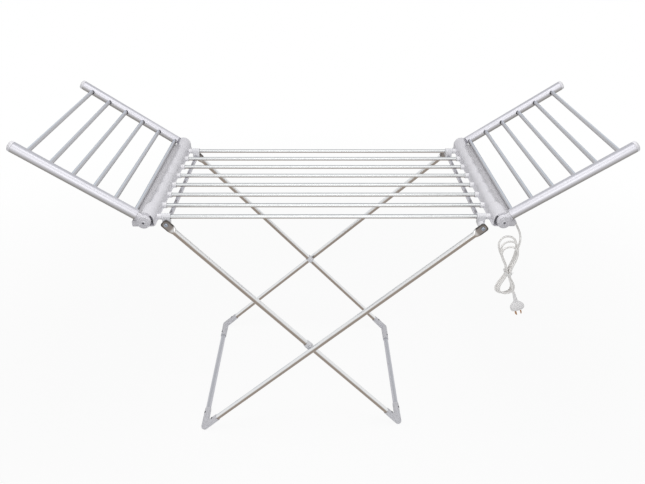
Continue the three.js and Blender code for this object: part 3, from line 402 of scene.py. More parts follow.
@dataclass(frozen=True)
class SoftSheath(Finish):
    """Flexible sheath or silicone: smooth with a slight waviness and a soft gloss."""

    roughness: float

    def paint(self, graph: ShaderGraph) -> Inputs:
        """Slow waves under a fine grain.

        Args:
            graph: where the nodes go.

        Returns:
            The shader's inputs.
        """
        place = graph.place()
        wave, fine = graph.noise(place, 60.0), graph.noise(place, 1500.0)
        return {
            "Base Color": graph.blend(wave, lighter(self.colour, 0.965), lighter(self.colour, 1.02)),
            "Roughness": self.roughness + 0.14 * (wave - 0.5),
            "Normal": graph.bump(wave + 0.01 * fine, 0.02 * MM, 0.3),
        }


HOUSING = MouldedPlastic("housing_plastic", "housing", (0.7, 0.692, 0.73), 0.5)
COLLAR = MouldedPlastic("collar_plastic", "housing", (0.8, 0.795, 0.82), 0.42)
CAP = MouldedPlastic("cap_plastic", "end_cap", (0.86, 0.85, 0.89), 0.36)
BRACKET = MouldedPlastic("bracket_plastic", "bracket", (0.76, 0.76, 0.79), 0.42)
ELBOW = MouldedPlastic("elbow_plastic", "elbow", (0.71, 0.71, 0.75), 0.44)
# The underside and top tones of these tube finishes are painted reflection, not the metal's own colour.
POLISHED = DrawnAluminium(
    "polished_tube", "polished_aluminium", (0.66, 0.67, 0.675), 0.26, under=(0.26, 0.2, 0.16),
    under_level=-0.3, under_spread=0.3, over=(0.33, 0.35, 0.37), line_share=0.05
)
SATIN = DrawnAluminium(
    "satin_tube", "satin_aluminium", (0.67, 0.665, 0.71), 0.46, under=(0.28, 0.265, 0.25),
    under_level=-0.05, under_spread=0.5, over=(0.5, 0.5, 0.54), over_level=0.7
)
BAR = DrawnAluminium(
    "crossbar_tube", "satin_aluminium", (0.48, 0.48, 0.5), 0.42, under=(0.38, 0.355, 0.35),
    over=(0.56, 0.6, 0.66)
)
LEG = DrawnAluminium(
    "leg_tube", "leg_aluminium", (0.78, 0.79, 0.8), 0.24, under=(0.31, 0.262, 0.225), under_level=0.32,
    under_spread=0.16, over=(0.42, 0.46, 0.52), over_level=0.68, pressed=(0.26, 0.235, 0.22)
)
FOOT = DrawnAluminium("foot_tube", "leg_aluminium", (0.54, 0.54, 0.58), 0.4, under=(0.42, 0.41, 0.43))
STEEL = BareMetal("zinc_steel", "leg_aluminium", (0.42, 0.46, 0.52), 0.24, (0.12, 0.13, 0.15))
DARK_STEEL = BareMetal("blackened_screw", "elbow", (0.09, 0.09, 0.1), 0.4, (0.04, 0.04, 0.04))
BRASS = BareMetal("plug_brass", "plug", (0.42, 0.22, 0.09), 0.3, (0.2, 0.08, 0.03))
SHEATH = SoftSheath("cord_sheath", "cord", (0.95, 0.935, 0.92), 0.4)
PLUG = SoftSheath("plug_plastic", "plug", (0.93, 0.92, 0.93), 0.3)
TIE = SoftSheath("tie_plastic", "cord", (0.9, 0.9, 0.9), 0.3)
SILICONE = SoftSheath("heating_silicone", "heating_cable", (0.48, 0.08, 0.03), 0.6)


# Outlines and profiles


def shares(steps: int) -> list[float]:
    """Even shares from 0 to 1, both included."""
    return [i / steps for i in range(steps + 1)]


def ease(share: float) -> float:
    """A smooth step from 0 to 1."""
    return share * share * (3 - 2 * share)


def quarter(steps: int) -> list[float]:
    """The angles of a quarter turn, both ends included."""
    return [math.pi / 2 * i / steps for i in range(steps + 1)]


def circle(sides: int) -> list[float]:
    """The angles of a full turn."""
    return [FULL_TURN * i / sides for i in range(sides)]


def arc(centre: Pair, radius: float, start: float, stop: float, steps: int) -> list[Pair]:
    """Points along a round arc, both ends included."""
    turns = [start + (stop - start) * i / steps for i in range(steps + 1)]
    return [(centre[0] + radius * math.cos(t), centre[1] + radius * math.sin(t)) for t in turns]


def round_end(radius: float, length: float, along: float, steps: int) -> list[Pair]:
    """The profile of a dome, as places along the axis and radii, from its rim to its tip."""
    return [(along + length * math.sin(t), radius * math.cos(t)) for t in quarter(steps)]


def rectangle(x: Pair, y: Pair) -> list[Pair]:
    """A counter-clockwise rectangle over two spans."""
    return [(x[0], y[0]), (x[1], y[0]), (x[1], y[1]), (x[0], y[1])]


def rounded(points: Sequence[Pair], radius: float, steps: int = 4, loop: bool = False) -> list[Pair]:
    """Rounds the corners of an open line or a loop.

    Args:
        points: the corners.
        radius: the distance from a corner at which its round starts.
        steps: pieces in each round.
        loop: whether the last corner joins the first.

    Returns:
        The rounded line.
    """
    count = len(points)
    result: list[Pair] = []
    for i, (x, y) in enumerate(points):
        if not loop and i in (0, count - 1):
            result.append((x, y))
            continue
        here = Vector((x, y))
        before, after = Vector(points[i - 1]) - here, Vector(points[(i + 1) % count]) - here
        start = here + before.normalized() * min(radius, before.length * 0.5)
        stop = here + after.normalized() * min(radius, after.length * 0.5)
        for t in shares(steps):
            result.append(tuple(start * (1 - t) ** 2 + here * 2 * t * (1 - t) + stop * t * t))
    return result


def inset(outline: Sequence[Pair], distance: float) -> list[Pair]:
    """Moves a counter-clockwise loop inwards.

    Args:
        outline: the loop.
        distance: how far it moves.

    Returns:
        The smaller loop, with as many points.
    """
    count = len(outline)
    result: list[Pair] = []
    for i in range(count):
        before, here, after = (Vector(outline[j % count]) for j in (i - 1, i, i + 1))
        first, second = (here - before).normalized(), (after - here).normalized()
        inward = Vector((-first.y - second.y, first.x + second.x))
        if inward.length < TINY:
            inward = Vector((-first.y, first.x)) * 2
        scale = distance * 2 / inward.length_squared
        result.append((here.x + inward.x * scale, here.y + inward.y * scale))
    return result


# Shapes


class Shape:
    """A surface in a piece's own axes."""

    def __init__(self, points: Iterable[Vector] = (), faces: Iterable[tuple[int, ...]] = ()) -> None:
        """Starts with the points and faces given."""
        self.points, self.faces = list(points), list(faces)

    def add_rings(self, rings: Sequence[Sequence[Vector]], joined: bool = False) -> Shape:
        """Skins over rings of points and fills open ends; a ring of one point is a pole.

        Args:
            rings: the rings, each with as many points or with one.
            joined: whether the last ring joins the first.

        Returns:
            This shape.
        """
        spans: list[range] = []
        for ring in rings:
            spans.append(range(len(self.points), len(self.points) + len(ring)))
            self.points.extend(Vector(p) for p in ring)
        for low, high in zip(spans, [*spans[1:], spans[0]] if joined else spans[1:]):
            m, n = len(low), len(high)
            for i in range(max(m, n)):
                j = (i + 1) % max(m, n)
                quad = (low[i % m], low[j % m], high[j % n], high[i % n])
                self.faces.append(tuple(dict.fromkeys(quad)))
        if not joined:
            ends = (tuple(reversed(spans[0])), tuple(spans[-1]))
            self.faces.extend(end for end in ends if len(end) > 1)
        return self

    def moved(self, matrix: Matrix) -> Shape:
        """A copy moved by a matrix."""
        return Shape((matrix @ p for p in self.points), self.faces)

    def joined_by(self, other: Shape) -> Shape:
        """Adds another shape's surface beside this one.

        Args:
            other: the other shape.

        Returns:
            This shape.
        """
        start = len(self.points)
        self.points.extend(other.points)
        self.faces.extend(tuple(i + start for i in face) for face in other.faces)
        return self


def turned(profile: Sequence[Pair], sides: int = 48, joined: bool = False) -> Shape:
    """A turned piece along X.

    Args:
        profile: places along X with a radius for each.
        sides: facets round it.
        joined: whether the profile closes on itself, as a hollow piece's does.

    Returns:
        The shape.
    """
    rings = []
    for along, radius in profile:
        ring = [Vector((along, radius * math.cos(t), radius * math.sin(t))) for t in circle(sides)]
        rings.append(ring if radius >= TINY else [Vector((along, 0, 0))])
    return Shape().add_rings(rings, joined=joined)


def rod(radius: float, start: float, stop: float, sides: int) -> Shape:
    """A plain cylinder along X."""
    return turned([(start, 0.0), (start, radius), (stop, radius), (stop, 0.0)], sides)


def pipe(radius: float, bore: float, span: Pair, edge: float, sides: int = 48, steps: int = 3) -> Shape:
    """A hollow tube over a span of X, with rims rounded by an edge."""
    corners = [(span[0], bore), (span[0], radius), (span[1], radius), (span[1], bore)]
    return turned(rounded(corners, edge, steps, loop=True), sides, joined=True)


def slab(outline: Sequence[Pair], low: float, high: float, edge: float, steps: int = 3) -> Shape:
    """A plate with rounded edges. The outline lies in X and Y, and the plate's depth along Z.

    Args:
        outline: the counter-clockwise loop.
        low: the lower face.
        high: the upper face.
        edge: the radius of the edges.
        steps: pieces in each edge.

    Returns:
        The shape.
    """
    backs = [(edge * math.sin(t), edge - edge * math.cos(t)) for t in quarter(steps)]
    levels = [(low + edge - rise, back) for rise, back in reversed(backs)]
    levels += [(high - edge + rise, back) for rise, back in backs]
    return Shape().add_rings([[Vector((x, y, z)) for x, y in inset(outline, back)] for z, back in levels])


def swept(points: Sequence[Vector], radius: float, sides: int) -> Shape:
    """A round tube along a route, one ring at each point, with filled ends.

    Args:
        points: the route.
        radius: the tube's radius.
        sides: facets round it.

    Returns:
        The shape.
    """
    rings = []
    across = Vector((0, 1, 0))
    for i, point in enumerate(points):
        along = (points[min(i + 1, len(points) - 1)] - points[max(i - 1, 0)]).normalized()
        across = (across - along * across.dot(along)).normalized()
        other = along.cross(across)
        rings.append([point + (across * math.cos(t) + other * math.sin(t)) * radius for t in circle(sides)])
    return Shape().add_rings(rings)


def squared(value: float, squareness: float) -> float:
    """A sine or cosine for a section: 2 gives an ellipse, and more a squarer one."""
    return math.copysign(abs(value) ** (2 / squareness), value)


def section(
    along: float, half_width: float, half_depth: float, squareness: float, sides: int
) -> list[Vector]:
    """A rounded section across X, with its width along Z and its depth along Y."""
    turns = [(squared(math.cos(t), squareness), squared(math.sin(t), squareness)) for t in circle(sides)]
    return [Vector((along, half_depth * s, half_width * c)) for c, s in turns]


def axes_matrix(origin: Vector, x_axis: Vector, y_axis: Vector) -> Matrix:
    """The matrix that places a local frame.

    Args:
        origin: where the frame's origin goes.
        x_axis: its X direction.
        y_axis: its Y direction.

    Returns:
        The matrix.
    """
    first, second = x_axis.normalized(), y_axis.normalized()
    turn = Matrix((first, second, first.cross(second))).transposed().to_4x4()
    return Matrix.Translation(origin) @ turn


ALONG_Y = axes_matrix(Vector(), Vector((0, 1, 0)), Vector((0, 0, 1)))
ALONG_Z = axes_matrix(Vector(), Vector((0, 0, 1)), Vector((1, 0, 0)))
MIRROR_Y = Matrix.Diagonal((1, -1, 1, 1))


def shifted(x: float = 0.0, y: float = 0.0, z: float = 0.0) -> Matrix:
    """A move without a turn."""
    return Matrix.Translation((x, y, z))


# Pieces


def linked(name: str, data: bpy.types.ID) -> bpy.types.Object:
    """Makes an object in the scene.

    Args:
        name: its name.
        data: its mesh, curve, lamp or camera.

    Returns:
        The object.
    """
    made = bpy.data.objects.new(name, data)
    bpy.context.scene.collection.objects.link(made)
    return made


def mesh_of(name: str, shape: Shape) -> bpy.types.Mesh:
    """A mesh that keeps its own axes as the grain of its finish.

    Args:
        name: the mesh's name.
        shape: its surface.

    Returns:
        The mesh.
    """
    mesh = bpy.data.meshes.new(name)
    mesh.from_pydata([tuple(p) for p in shape.points], [], shape.faces)
    grain = mesh.attributes.new("grain", "FLOAT_VECTOR", "POINT")
    grain.data.foreach_set("vector", [part for p in shape.points for part in p])
    return mesh


def faced(mesh: bpy.types.Mesh, crease: float | None = None) -> bpy.types.Mesh:
    """Turns a mesh's faces outwards.

    Args:
        mesh: the mesh.
        crease: if given, the mesh is welded too, and smoothed but for edges above this angle in degrees.

    Returns:
        The same mesh.
    """
    work = bmesh.new()
    work.from_mesh(mesh)
    if crease is not None:
        bmesh.ops.remove_doubles(work, verts=work.verts, dist=WELD)
    bmesh.ops.recalc_face_normals(work, faces=work.faces)
    if crease is not None:
        for face in work.faces:
            face.smooth = True
        for edge in work.edges:
            edge.smooth = len(edge.link_faces) == 2 and edge.calc_face_angle(0.0) < math.radians(crease)
    work.to_mesh(mesh)
    work.free()
    return mesh


def united(name: str, shapes: Sequence[Shape], cuts: Sequence[Shape] = ()) -> bpy.types.Mesh:
    """Joins solids into one and cuts others out of it.

    Args:
        name: the mesh's name.
        shapes: the solids to join.
        cuts: the solids to cut out.

    Returns:
        The mesh.
    """
    base, *tools = (linked(name, faced(mesh_of(name, shape))) for shape in (*shapes, *cuts))
    for i, tool in enumerate(tools, 1):
        modifier = base.modifiers.new("join", "BOOLEAN")
        modifier.operation = "UNION" if i < len(shapes) else "DIFFERENCE"
        modifier.solver = "EXACT"
        modifier.object = tool
    graph = bpy.context.evaluated_depsgraph_get()
    mesh = bpy.data.meshes.new_from_object(base.evaluated_get(graph))
    for made in (base, *tools):
        old = made.data
        bpy.data.objects.remove(made)
        bpy.data.meshes.remove(old)
    return mesh


def dressed(made: bpy.types.Object, finish: Finish) -> None:
    """Gives an object a finish as its only material."""
    made.data.materials.clear()
    made.data.materials.append(finish.material())


def piece(
    name: str, surface: Shape | bpy.types.Mesh, place: Matrix, finish: Finish, body: str = "rack",
    replaced: str = "", crease: float = 34.0
) -> bpy.types.Object:
    """Makes a finished piece that rides on a body of the frame.

    Args:
        name: the piece's name.
        surface: its shape or mesh in its own axes.
        place: where its axes lie in the frame.
        finish: its finish.
        body: the body that it rides on.
        replaced: the solid that it stands for, if any.
        crease: the angle in degrees above which an edge stays sharp.

    Returns:
        The new object.
    """
    mesh = mesh_of(name, surface) if isinstance(surface, Shape) else surface
    mesh.transform(place)
    made = linked(name, faced(mesh, crease))
    dressed(made, finish)
    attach(made, body)
    if replaced:
        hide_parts(replaced)
    LOG.info("%s: %d faces on %s", name, len(mesh.polygons), body)
    return made


@dataclass(frozen=True)
class CrossHead:
    """A cross-recessed screw head, flat side at the origin and domed along +X."""

    radius: float
    height: float
    recess_width: float = SCREW_RECESS
    recess_depth: float = SCREW_RECESS
    rim_share: float = 0.35
    reach_share: float = 0.62
    recess_edge: float = 0.05 * MM

    def mesh(self, name: str, *shanks: Shape) -> bpy.types.Mesh:
        """The head with its cross cut out of it.

        Args:
            name: the mesh's name.
            shanks: what the head is joined with.

        Returns:
            The mesh.
        """
        rim = self.height * self.rim_share
        dome = round_end(self.radius, self.height - rim, rim, 6)
        head = turned([(0.0, 0.0), (0.0, self.radius), *dome], 32)
        reach, half = self.radius * self.reach_share, self.recess_width / 2
        low, high = self.height - self.recess_depth, self.height + self.recess_depth
        outlines = (rectangle((-a, a), (-b, b)) for a, b in ((reach, half), (half, reach)))
        turn = ALONG_Z.inverted()
        cross = [slab(outline, low, high, self.recess_edge, 1).moved(turn) for outline in outlines]
        return united(name, [head, *shanks], cross)


@dataclass
class EndHousing:
    """A moulded end housing with a lobe over each tube, its collars and its base plate.

    Its axes start on the wing's hinge axis: X points outboard and Z up.
    """

    side: Side
    hinge: Vector
    tubes: Sequence[float]
    tube_drop: float
    pitch: float = 63.9 * MM
    crown_radius: float = 22 * MM
    wall: float = 2.4 * MM
    outreach: float = 33 * MM
    drop: float = 17.5 * MM
    rim: float = 6.4 * MM
    flare: float = 2.4 * MM
    flare_share: float = 0.42
    shoulder_drop: float = 1.5 * MM
    scallop_depth: float = 2.4 * MM
    fade: float = 9 * MM
    pocket_depth: float = 26 * MM
    pocket_reach: float = 11.6 * MM
    pocket_wall_share: float = 0.55
    wedge_angle: float = math.radians(42)
    base_thickness: float = 2.2 * MM
    base_corner: float = 3 * MM
    base_edge: float = 0.5 * MM
    lobe_angle: float = math.radians(78)
    groove_angle: float = math.radians(96)
    valley_width: float = 25 * MM
    valley_reach: float = 6 * MM
    valley_top_shares: Pair = (0.42, 0.92)
    valley_foot_share: float = 0.52
    dip_angle: float = math.radians(33)
    dip_reach: float = 4.5 * MM
    dip_room_share: float = 0.1
    shoulder_round_share: float = 0.12
    edge: float = 0.7 * MM
    collar_radius: float = 7.5 * MM
    collar_length: float = 10.9 * MM
    collar_edge: float = 1.1 * MM
    pin_end: float = 267.4 * MM
    pin_tip: float = 0.6 * MM
    screw_depth: float = 1.2 * MM
    lobe_steps: int = 14
    screws_per_base: int = 4

    @property
    def half(self) -> float:
        """Half the housing's length."""
        return len(self.tubes) * self.pitch / 2 + self.rim

    @property
    def floor(self) -> float:
        """The height of the shell's lower edge."""
        return -self.drop + self.base_thickness + GAP

    def lobe(self, y: float) -> float:
        """Height of the pillow over each tube, from 0 in the grooves to 1 on the crown."""
        return 1.0 if abs(y) >= max(self.tubes) else math.sqrt(abs(math.sin(math.pi * y / self.pitch)))

    def dip(self, y: float) -> float:
        """How far the valley is hollowed, from 0 beside the hinge pockets to 1 between them."""
        room = max(self.tubes) + self.pitch * self.dip_room_share - abs(y)
        return ease(min(1.0, max(0.0, room / self.pitch)))

    def outline(self, height: float, back: float, floor: float, dip: float = 0.0) -> list[Pair]:
        """The housing's section as (outboard, up) pairs.

        Args:
            height: the lobe's height, from 0 in a groove to 1 on a crown.
            back: how far the whole outline is drawn in.
            floor: the height of its lower edge.
            dip: how far the valley is hollowed, from 0 to 1.

        Returns:
            The points, from the inboard foot over the crown and the valley to the outboard foot.
        """
        crown = self.crown_radius - self.scallop_depth * (1 - height) - back
        wall = self.crown_radius - back
        outboard, shoulder = self.outreach - back, -self.shoulder_drop - back
        corner = self.outreach * self.shoulder_round_share
        turn = self.groove_angle + (self.lobe_angle - self.groove_angle) * height + self.dip_angle * dip
        drawn = self.valley_reach * (1 - height) + back + self.dip_reach * dip
        flank = -wall - self.flare * self.flare_share
        points = [(-wall - self.flare, floor), (flank, (floor - self.fade) / 2)]
        points += [(-wall + (wall - crown) * ease(t), -self.fade * (1 - t)) for t in shares(6)]
        points += arc((0.0, 0.0), crown, math.pi, turn, 26)[1:]
        along, up = self.valley_top_shares
        controls = [
            Vector(points[-1]),
            Vector((along * self.crown_radius - drawn, up * crown)),
            Vector((self.valley_foot_share * self.valley_width - drawn, shoulder + corner / 2)),
            Vector((self.valley_width - back, shoulder)),
        ]
        for t in shares(14)[1:]:
            weights = ((1 - t) ** 3, 3 * t * (1 - t) ** 2, 3 * t * t * (1 - t), t**3)
            points.append(tuple(sum(c[k] * w for c, w in zip(controls, weights)) for k in (0, 1)))
        points += arc((outboard - corner, shoulder - corner), corner, math.pi / 2, 0.0, 5)
        return [*points, (outboard, (floor + shoulder) / 2), (outboard, floor)]

    def shell(self) -> bpy.types.Mesh:
        """The shell with an open hinge pocket in each end.

        Returns:
            The mesh.
        """
        crown_half = self.half - self.rim

        def ring(y: float, back: float = 0.0) -> list[Vector]:
            """The section at a place along the housing."""
            return [Vector((x, y, z)) for x, z in self.outline(self.lobe(y), back, self.floor, self.dip(y))]

        steps = ((0.0, self.edge), (self.edge * 0.3, self.edge * 0.3), (self.edge, 0.0))
        end = [ring(-self.half + along, back) for along, back in steps]
        lobes = [ring(-crown_half + 2 * crown_half * t) for t in shares(len(self.tubes) * self.lobe_steps)]
        other_end = [[Vector((p.x, -p.y, p.z)) for p in old] for old in reversed(end)]
        pocket = self.pocket()
        shell = Shape().add_rings([*end, *lobes, *other_end])
        return united("housing_shell", [shell], [pocket, pocket.moved(MIRROR_Y)])

    def pocket(self) -> Shape:
        """The room that a knuckle's hub turns in, closed outboard of the hub.

        Returns:
            The shape to cut out of the shell.
        """
        inner = self.outline(1.0, self.wall * self.pocket_wall_share, self.floor - OVERRUN)
        inner = [(x, z) for x, z in inner if x <= 0 and math.atan2(z, -x) < self.wedge_angle]
        hub = arc((0.0, 0.0), self.pocket_reach, math.pi - self.wedge_angle, 0.0, 16)
        loop = [*inner, *hub, (self.pocket_reach, self.floor - OVERRUN)][::-1]
        half = self.half
        levels = ((half - self.pocket_depth, 0), (half - self.edge, 0), (half, 1), (half + OVERRUN, 1))
        rings = [[Vector((x, y, z)) for x, z in inset(loop, -self.edge / 2 * wide)] for y, wide in levels]
        return Shape().add_rings(rings)

    def collars(self) -> Shape:
        """The short collars round the tubes.

        Returns:
            The shape.
        """
        span = (-self.crown_radius - self.collar_length, -self.crown_radius + self.wall / 2)
        one = pipe(self.collar_radius, TUBE_RADIUS + GAP, span, self.collar_edge, 40, 4)
        shape = Shape()
        for y in self.tubes:
            shape.joined_by(one.moved(shifted(0, self.side.value * y, -self.tube_drop)))
        return shape

    def base(self) -> Shape:
        """The base plate.

        Returns:
            The shape.
        """
        inboard = -(self.crown_radius - self.wall / 2 - GAP)
        corners = rectangle((inboard, self.outreach), (-self.half, self.half))
        outline = rounded(corners, self.base_corner, 6, loop=True)
        return slab(outline, -self.drop, -self.drop + self.base_thickness, self.base_edge)

    def build(self) -> None:
        """Makes the housing's pieces."""
        name, sign = self.side.label, self.side.value
        place = axes_matrix(self.hinge, Vector((sign, 0, 0)), Vector((0, sign, 0)))
        piece(f"{name}_housing_shell", self.shell(), place, HOUSING, "rack", f"{name}_end_housing", 40)
        piece(f"{name}_tube_collars", self.collars(), place, COLLAR)
        piece(f"{name}_base_plate", self.base(), place, HOUSING, "rack", f"{name}_end_base")
        root = self.half - self.pocket_depth - self.wall / 2
        tip = round_end(PIN_RADIUS, self.pin_tip, self.pin_end, 4)
        pin = turned([(root, 0), (root, PIN_RADIUS), *tip], 32)
        pins = pin.moved(ALONG_Y).joined_by(pin.moved(MIRROR_Y @ ALONG_Y))
        piece(f"{name}_hinge_pins", pins, place, STEEL)
        head = CrossHead(3.2 * MM, 1.4 * MM)
        for i in range(self.screws_per_base):
            along = (i - (self.screws_per_base - 1) / 2) * 2 * self.pitch
            spot = Vector((0.0, along, -self.drop + self.screw_depth))
            turn = axes_matrix(spot, Vector((0, 0, -1)), Vector((0, 1, 0)))
            piece(f"{name}_base_screw_{i + 1}", head.mesh("base_screw"), place @ turn, STEEL)


def thin_tube(half: float) -> Shape:
    """A heated tube or crossbar along X, open at both ends."""
    return pipe(TUBE_RADIUS, TUBE_RADIUS - TUBE_WALL, (-half, half), TUBE_RIM, 40)


@dataclass
class TubeRack:
    """The heated tubes between the housings."""

    centres: Sequence[Vector]
    half_length: float

    def build(self) -> None:
        """Makes the heated tubes."""
        for i, centre in enumerate(self.centres, 1):
            tube = thin_tube(self.half_length)
            piece(f"rack_tube_{i}", tube, shifted(*centre), POLISHED, "rack", f"heating_tube_{i}")


@dataclass
class LegBracket:
    """A sleeve round an end tube with a lug that carries a leg's pivot below it.

    Its axes start on the rack's middle line at tube height: X along the rack, Y towards the end.
    """

    side: Side
    end: End
    centre: Vector
    tube_y: float
    pivot_drop: float
    leg_back: float
    length: float = 22 * MM
    radius: float = 8.7 * MM
    lug_radius: float = 9.3 * MM
    axle_bite: float = 9 * MM
    boss_root: float = 3 * MM
    ridges: int = 4
    groove: float = 1.6 * MM
    ridge_edge: float = 0.5 * MM
    lug_edge: float = 0.9 * MM
    boss_edge: float = 0.6 * MM

    def mesh(self) -> bpy.types.Mesh:
        """The bracket as one solid.

        Returns:
            The mesh.
        """
        half, groove = self.length / 2, self.groove / 2
        profile = [(-half, 0.0), (-half, self.radius)]
        for i in range(1, self.ridges):
            middle = half * (2 * i / self.ridges - 1)
            for along, depth in ((-groove, 0.0), (-groove, groove), (groove, groove), (groove, 0.0)):
                profile.append((middle + along, self.radius - depth))
        profile += [(half, self.radius), (half, 0.0)]
        high, low = shifted(0, self.tube_y, 0), shifted(0, 0, -self.pivot_drop) @ ALONG_Y
        inner, face = self.tube_y - self.radius, self.tube_y + self.radius
        below = arc((0.0, -self.pivot_drop), self.lug_radius, -math.pi, 0.0, 24)
        outline = [*below, (self.lug_radius, 0.0), (-self.lug_radius, 0.0)]
        lug = slab(outline, -face, -inner, self.lug_edge).moved(Matrix.Rotation(math.pi / 2, 4, "X"))
        solids = [turned(rounded(profile, self.ridge_edge, 3), 48).moved(high), lug]
        if self.side is Side.RIGHT:
            radius, start, stop = self.lug_radius - GAP, face - self.boss_root, self.leg_back - GAP
            boss = [(start, 0.0), (start, radius), (stop, radius), (stop, 0.0)]
            solids.append(turned(rounded(boss, self.boss_edge, 3), 48).moved(low))
        bore = TUBE_RADIUS + GAP
        hole = rod(bore, -half - OVERRUN, half + OVERRUN, 40).moved(high)
        seat = rod(bore, inner - OVERRUN, inner + self.axle_bite, 40).moved(low)
        through = rod(PIN_RADIUS + GAP, inner, self.leg_back + OVERRUN, 24).moved(low)
        return united("leg_bracket", solids, [hole, seat, through])

    def build(self) -> None:
        """Makes the bracket."""
        name = f"{self.side.label}_{self.end.label}"
        place = Matrix.Translation(self.centre) @ (MIRROR_Y if self.end is End.FRONT else Matrix.Identity(4))
        piece(f"{name}_leg_bracket", self.mesh(), place, BRACKET, "rack", f"{name}_bracket")


@dataclass
class AxleTube:
    """The tube under the rack between two brackets, with a pivot bolt in each end."""

    side: Side
    centre: Vector
    shoulder: float
    seat: float
    bolt_bite: float = 8 * MM
    bolt_overlap: float = 0.2 * MM
    rim: float = 0.4 * MM
    head: CrossHead = CrossHead(5.5 * MM, 3.6 * MM, 1.3 * MM, 1.6 * MM)

    def build(self) -> None:
        """Makes the tube and its bolts."""
        place, name = Matrix.Translation(self.centre), self.side.label
        tube = pipe(TUBE_RADIUS, PIN_RADIUS, (-self.shoulder, self.shoulder), self.rim, 40)
        piece(f"{name}_axle_tube", tube, place @ ALONG_Y, SATIN, "rack", f"{name}_axle")
        shank = rod(PIN_RADIUS, -self.seat + self.shoulder - self.bolt_bite, self.bolt_overlap, 32)
        for end in End:
            spot = Vector((0, end.value * self.seat, 0))
            turn = axes_matrix(spot, Vector((0, end.value, 0)), Vector((0, 0, 1)))
            bolt = self.head.mesh("pivot_bolt", shank)
            piece(f"{name}_{end.label}_pivot_bolt", bolt, place @ turn, STEEL)


@dataclass
class Wing:
    """A hinged wing: two arms with caps and knuckles, and the bars between them.

    Its axes start on the hinge axis: X runs out along the arms.
    """

    side: Side
    hinge: Vector
    outward: Vector
    reaches: Sequence[float]
    arm_y: float = 256.5 * MM
    arm_radius: float = 13.5 * MM
    arm_wall: float = 1.6 * MM
    arm_start: float = 22.9 * MM
    arm_length: float = 342.3 * MM
    arm_rim: float = 0.35 * MM
    cap_length: float = 10 * MM
    cap_rim: float = 4 * MM
    cap_plug: float = 16 * MM
    cap_edge: float = 0.5 * MM
    bar_end: float = 250.6 * MM
    hole: float = 6.3 * MM
    hole_shift: float = 1.1 * MM
    disc_radius: float = 16.2 * MM
    disc_chamfer: float = 1.4 * MM
    knuckle_back: float = 262.45 * MM
    knuckle_face: float = 276.05 * MM
    step_height: float = 1.5 * MM
    step_radius: float = 12 * MM
    step_edge: float = 0.55 * MM
    boss_radius: float = 6.2 * MM
    hub_radius: float = 11 * MM
    hub_start: float = 236.6 * MM
    hub_overlap: float = 1 * MM
    spigot_start: float = 22.6 * MM
    spigot_end: float = 48.6 * MM
    neck_weld: float = 0.2 * MM

    @property
    def plug_radius(self) -> float:
        """The radius of what fits into an arm."""
        return self.arm_radius - self.arm_wall - GAP

    def arm(self) -> bpy.types.Mesh:
        """An arm's tube, with a punched hole round each bar.

        Returns:
            The mesh.
        """
        span = (self.arm_start, self.arm_length)
        tube = pipe(self.arm_radius, self.arm_radius - self.arm_wall, span, self.arm_rim, 64)
        punch = rod(self.hole, -2 * self.arm_radius, 0.0, 32)
        holes = [punch.moved(shifted(reach - self.hole_shift) @ ALONG_Y) for reach in self.reaches]
        return united("punched_arm", [tube], holes)

    def cap(self) -> Shape:
        """An arm's rounded end cap.

        Returns:
            The shape.
        """
        plug, radius, end = self.plug_radius, self.arm_radius, self.arm_length
        corners = [(end + GAP, plug), (end + GAP, radius), (end + GAP + self.cap_rim, radius)]
        lip = rounded(corners, self.cap_edge, 3)
        dome = round_end(radius, self.cap_length - self.cap_rim, end + self.cap_rim, 10)
        start = end - self.cap_plug
        return turned([(start, 0.0), (start, plug), *lip, *dome[1:]], 64)

    def knuckle(self) -> bpy.types.Mesh:
        """A knuckle: a stepped hinge disc, the hub behind it, and the neck and spigot of its arm.

        Returns:
            The mesh.
        """
        face, back, rise = self.knuckle_face, self.knuckle_back, self.step_height
        disc = [(back, 0.0), (back, self.disc_radius), (face, self.disc_radius), (face, self.step_radius)]
        profile = rounded(disc, self.disc_chamfer, 6)
        for level, radius, inner in (
            (face + rise, self.step_radius, self.boss_radius),
            (face + 2 * rise, self.boss_radius, 0.0),
        ):
            step = [(profile[-1][0], radius), (level, radius), (level, inner)]
            profile += rounded(step, self.step_edge)[1:]
        hub = rod(self.hub_radius, self.hub_start, back + self.hub_overlap, 48)
        lean = math.acos((back - self.arm_y) / self.arm_radius)
        segment = arc((self.arm_y, 0.0), self.arm_radius, -lean, lean, 28)
        neck = Shape().add_rings([[Vector((x, y, z)) for y, z in segment] for x in (0.0, self.spigot_start)])
        spigot = rod(self.plug_radius, self.spigot_start - self.neck_weld, self.spigot_end, 64)
        pinhole = rod(PIN_RADIUS + GAP, self.hub_start - OVERRUN, face + 4 * rise, 32)
        hinge = turned(profile, 72).moved(ALONG_Y)
        solids = [hinge, hub.moved(ALONG_Y), neck, spigot.moved(shifted(0, self.arm_y))]
        return united("knuckle", solids, [pinhole.moved(ALONG_Y)])

    def build(self) -> None:
        """Makes the wing's pieces."""
        name = f"{self.side.label}_wing"
        place = axes_matrix(self.hinge, self.outward, Vector((0, self.side.value, 0)))
        for end in End:
            inside = place @ (Matrix.Identity(4) if self.side.value * end.value > 0 else MIRROR_Y)
            arm_place = inside @ shifted(0, self.arm_y)
            tag = f"{name}_{end.label}"
            piece(f"{tag}_arm_tube", self.arm(), arm_place, SATIN, name, f"{tag}_arm")
            piece(f"{tag}_end_cap", self.cap(), arm_place, CAP, name, f"{tag}_cap")
            piece(f"{tag}_hinge_knuckle", self.knuckle(), inside, HOUSING, name, f"{tag}_knuckle")
        for i, reach in enumerate(self.reaches, 1):
            spot = place @ shifted(reach) @ ALONG_Y
            piece(f"{name}_crossbar_{i}", thin_tube(self.bar_end), spot, BAR, name, f"{name}_bar_{i}")


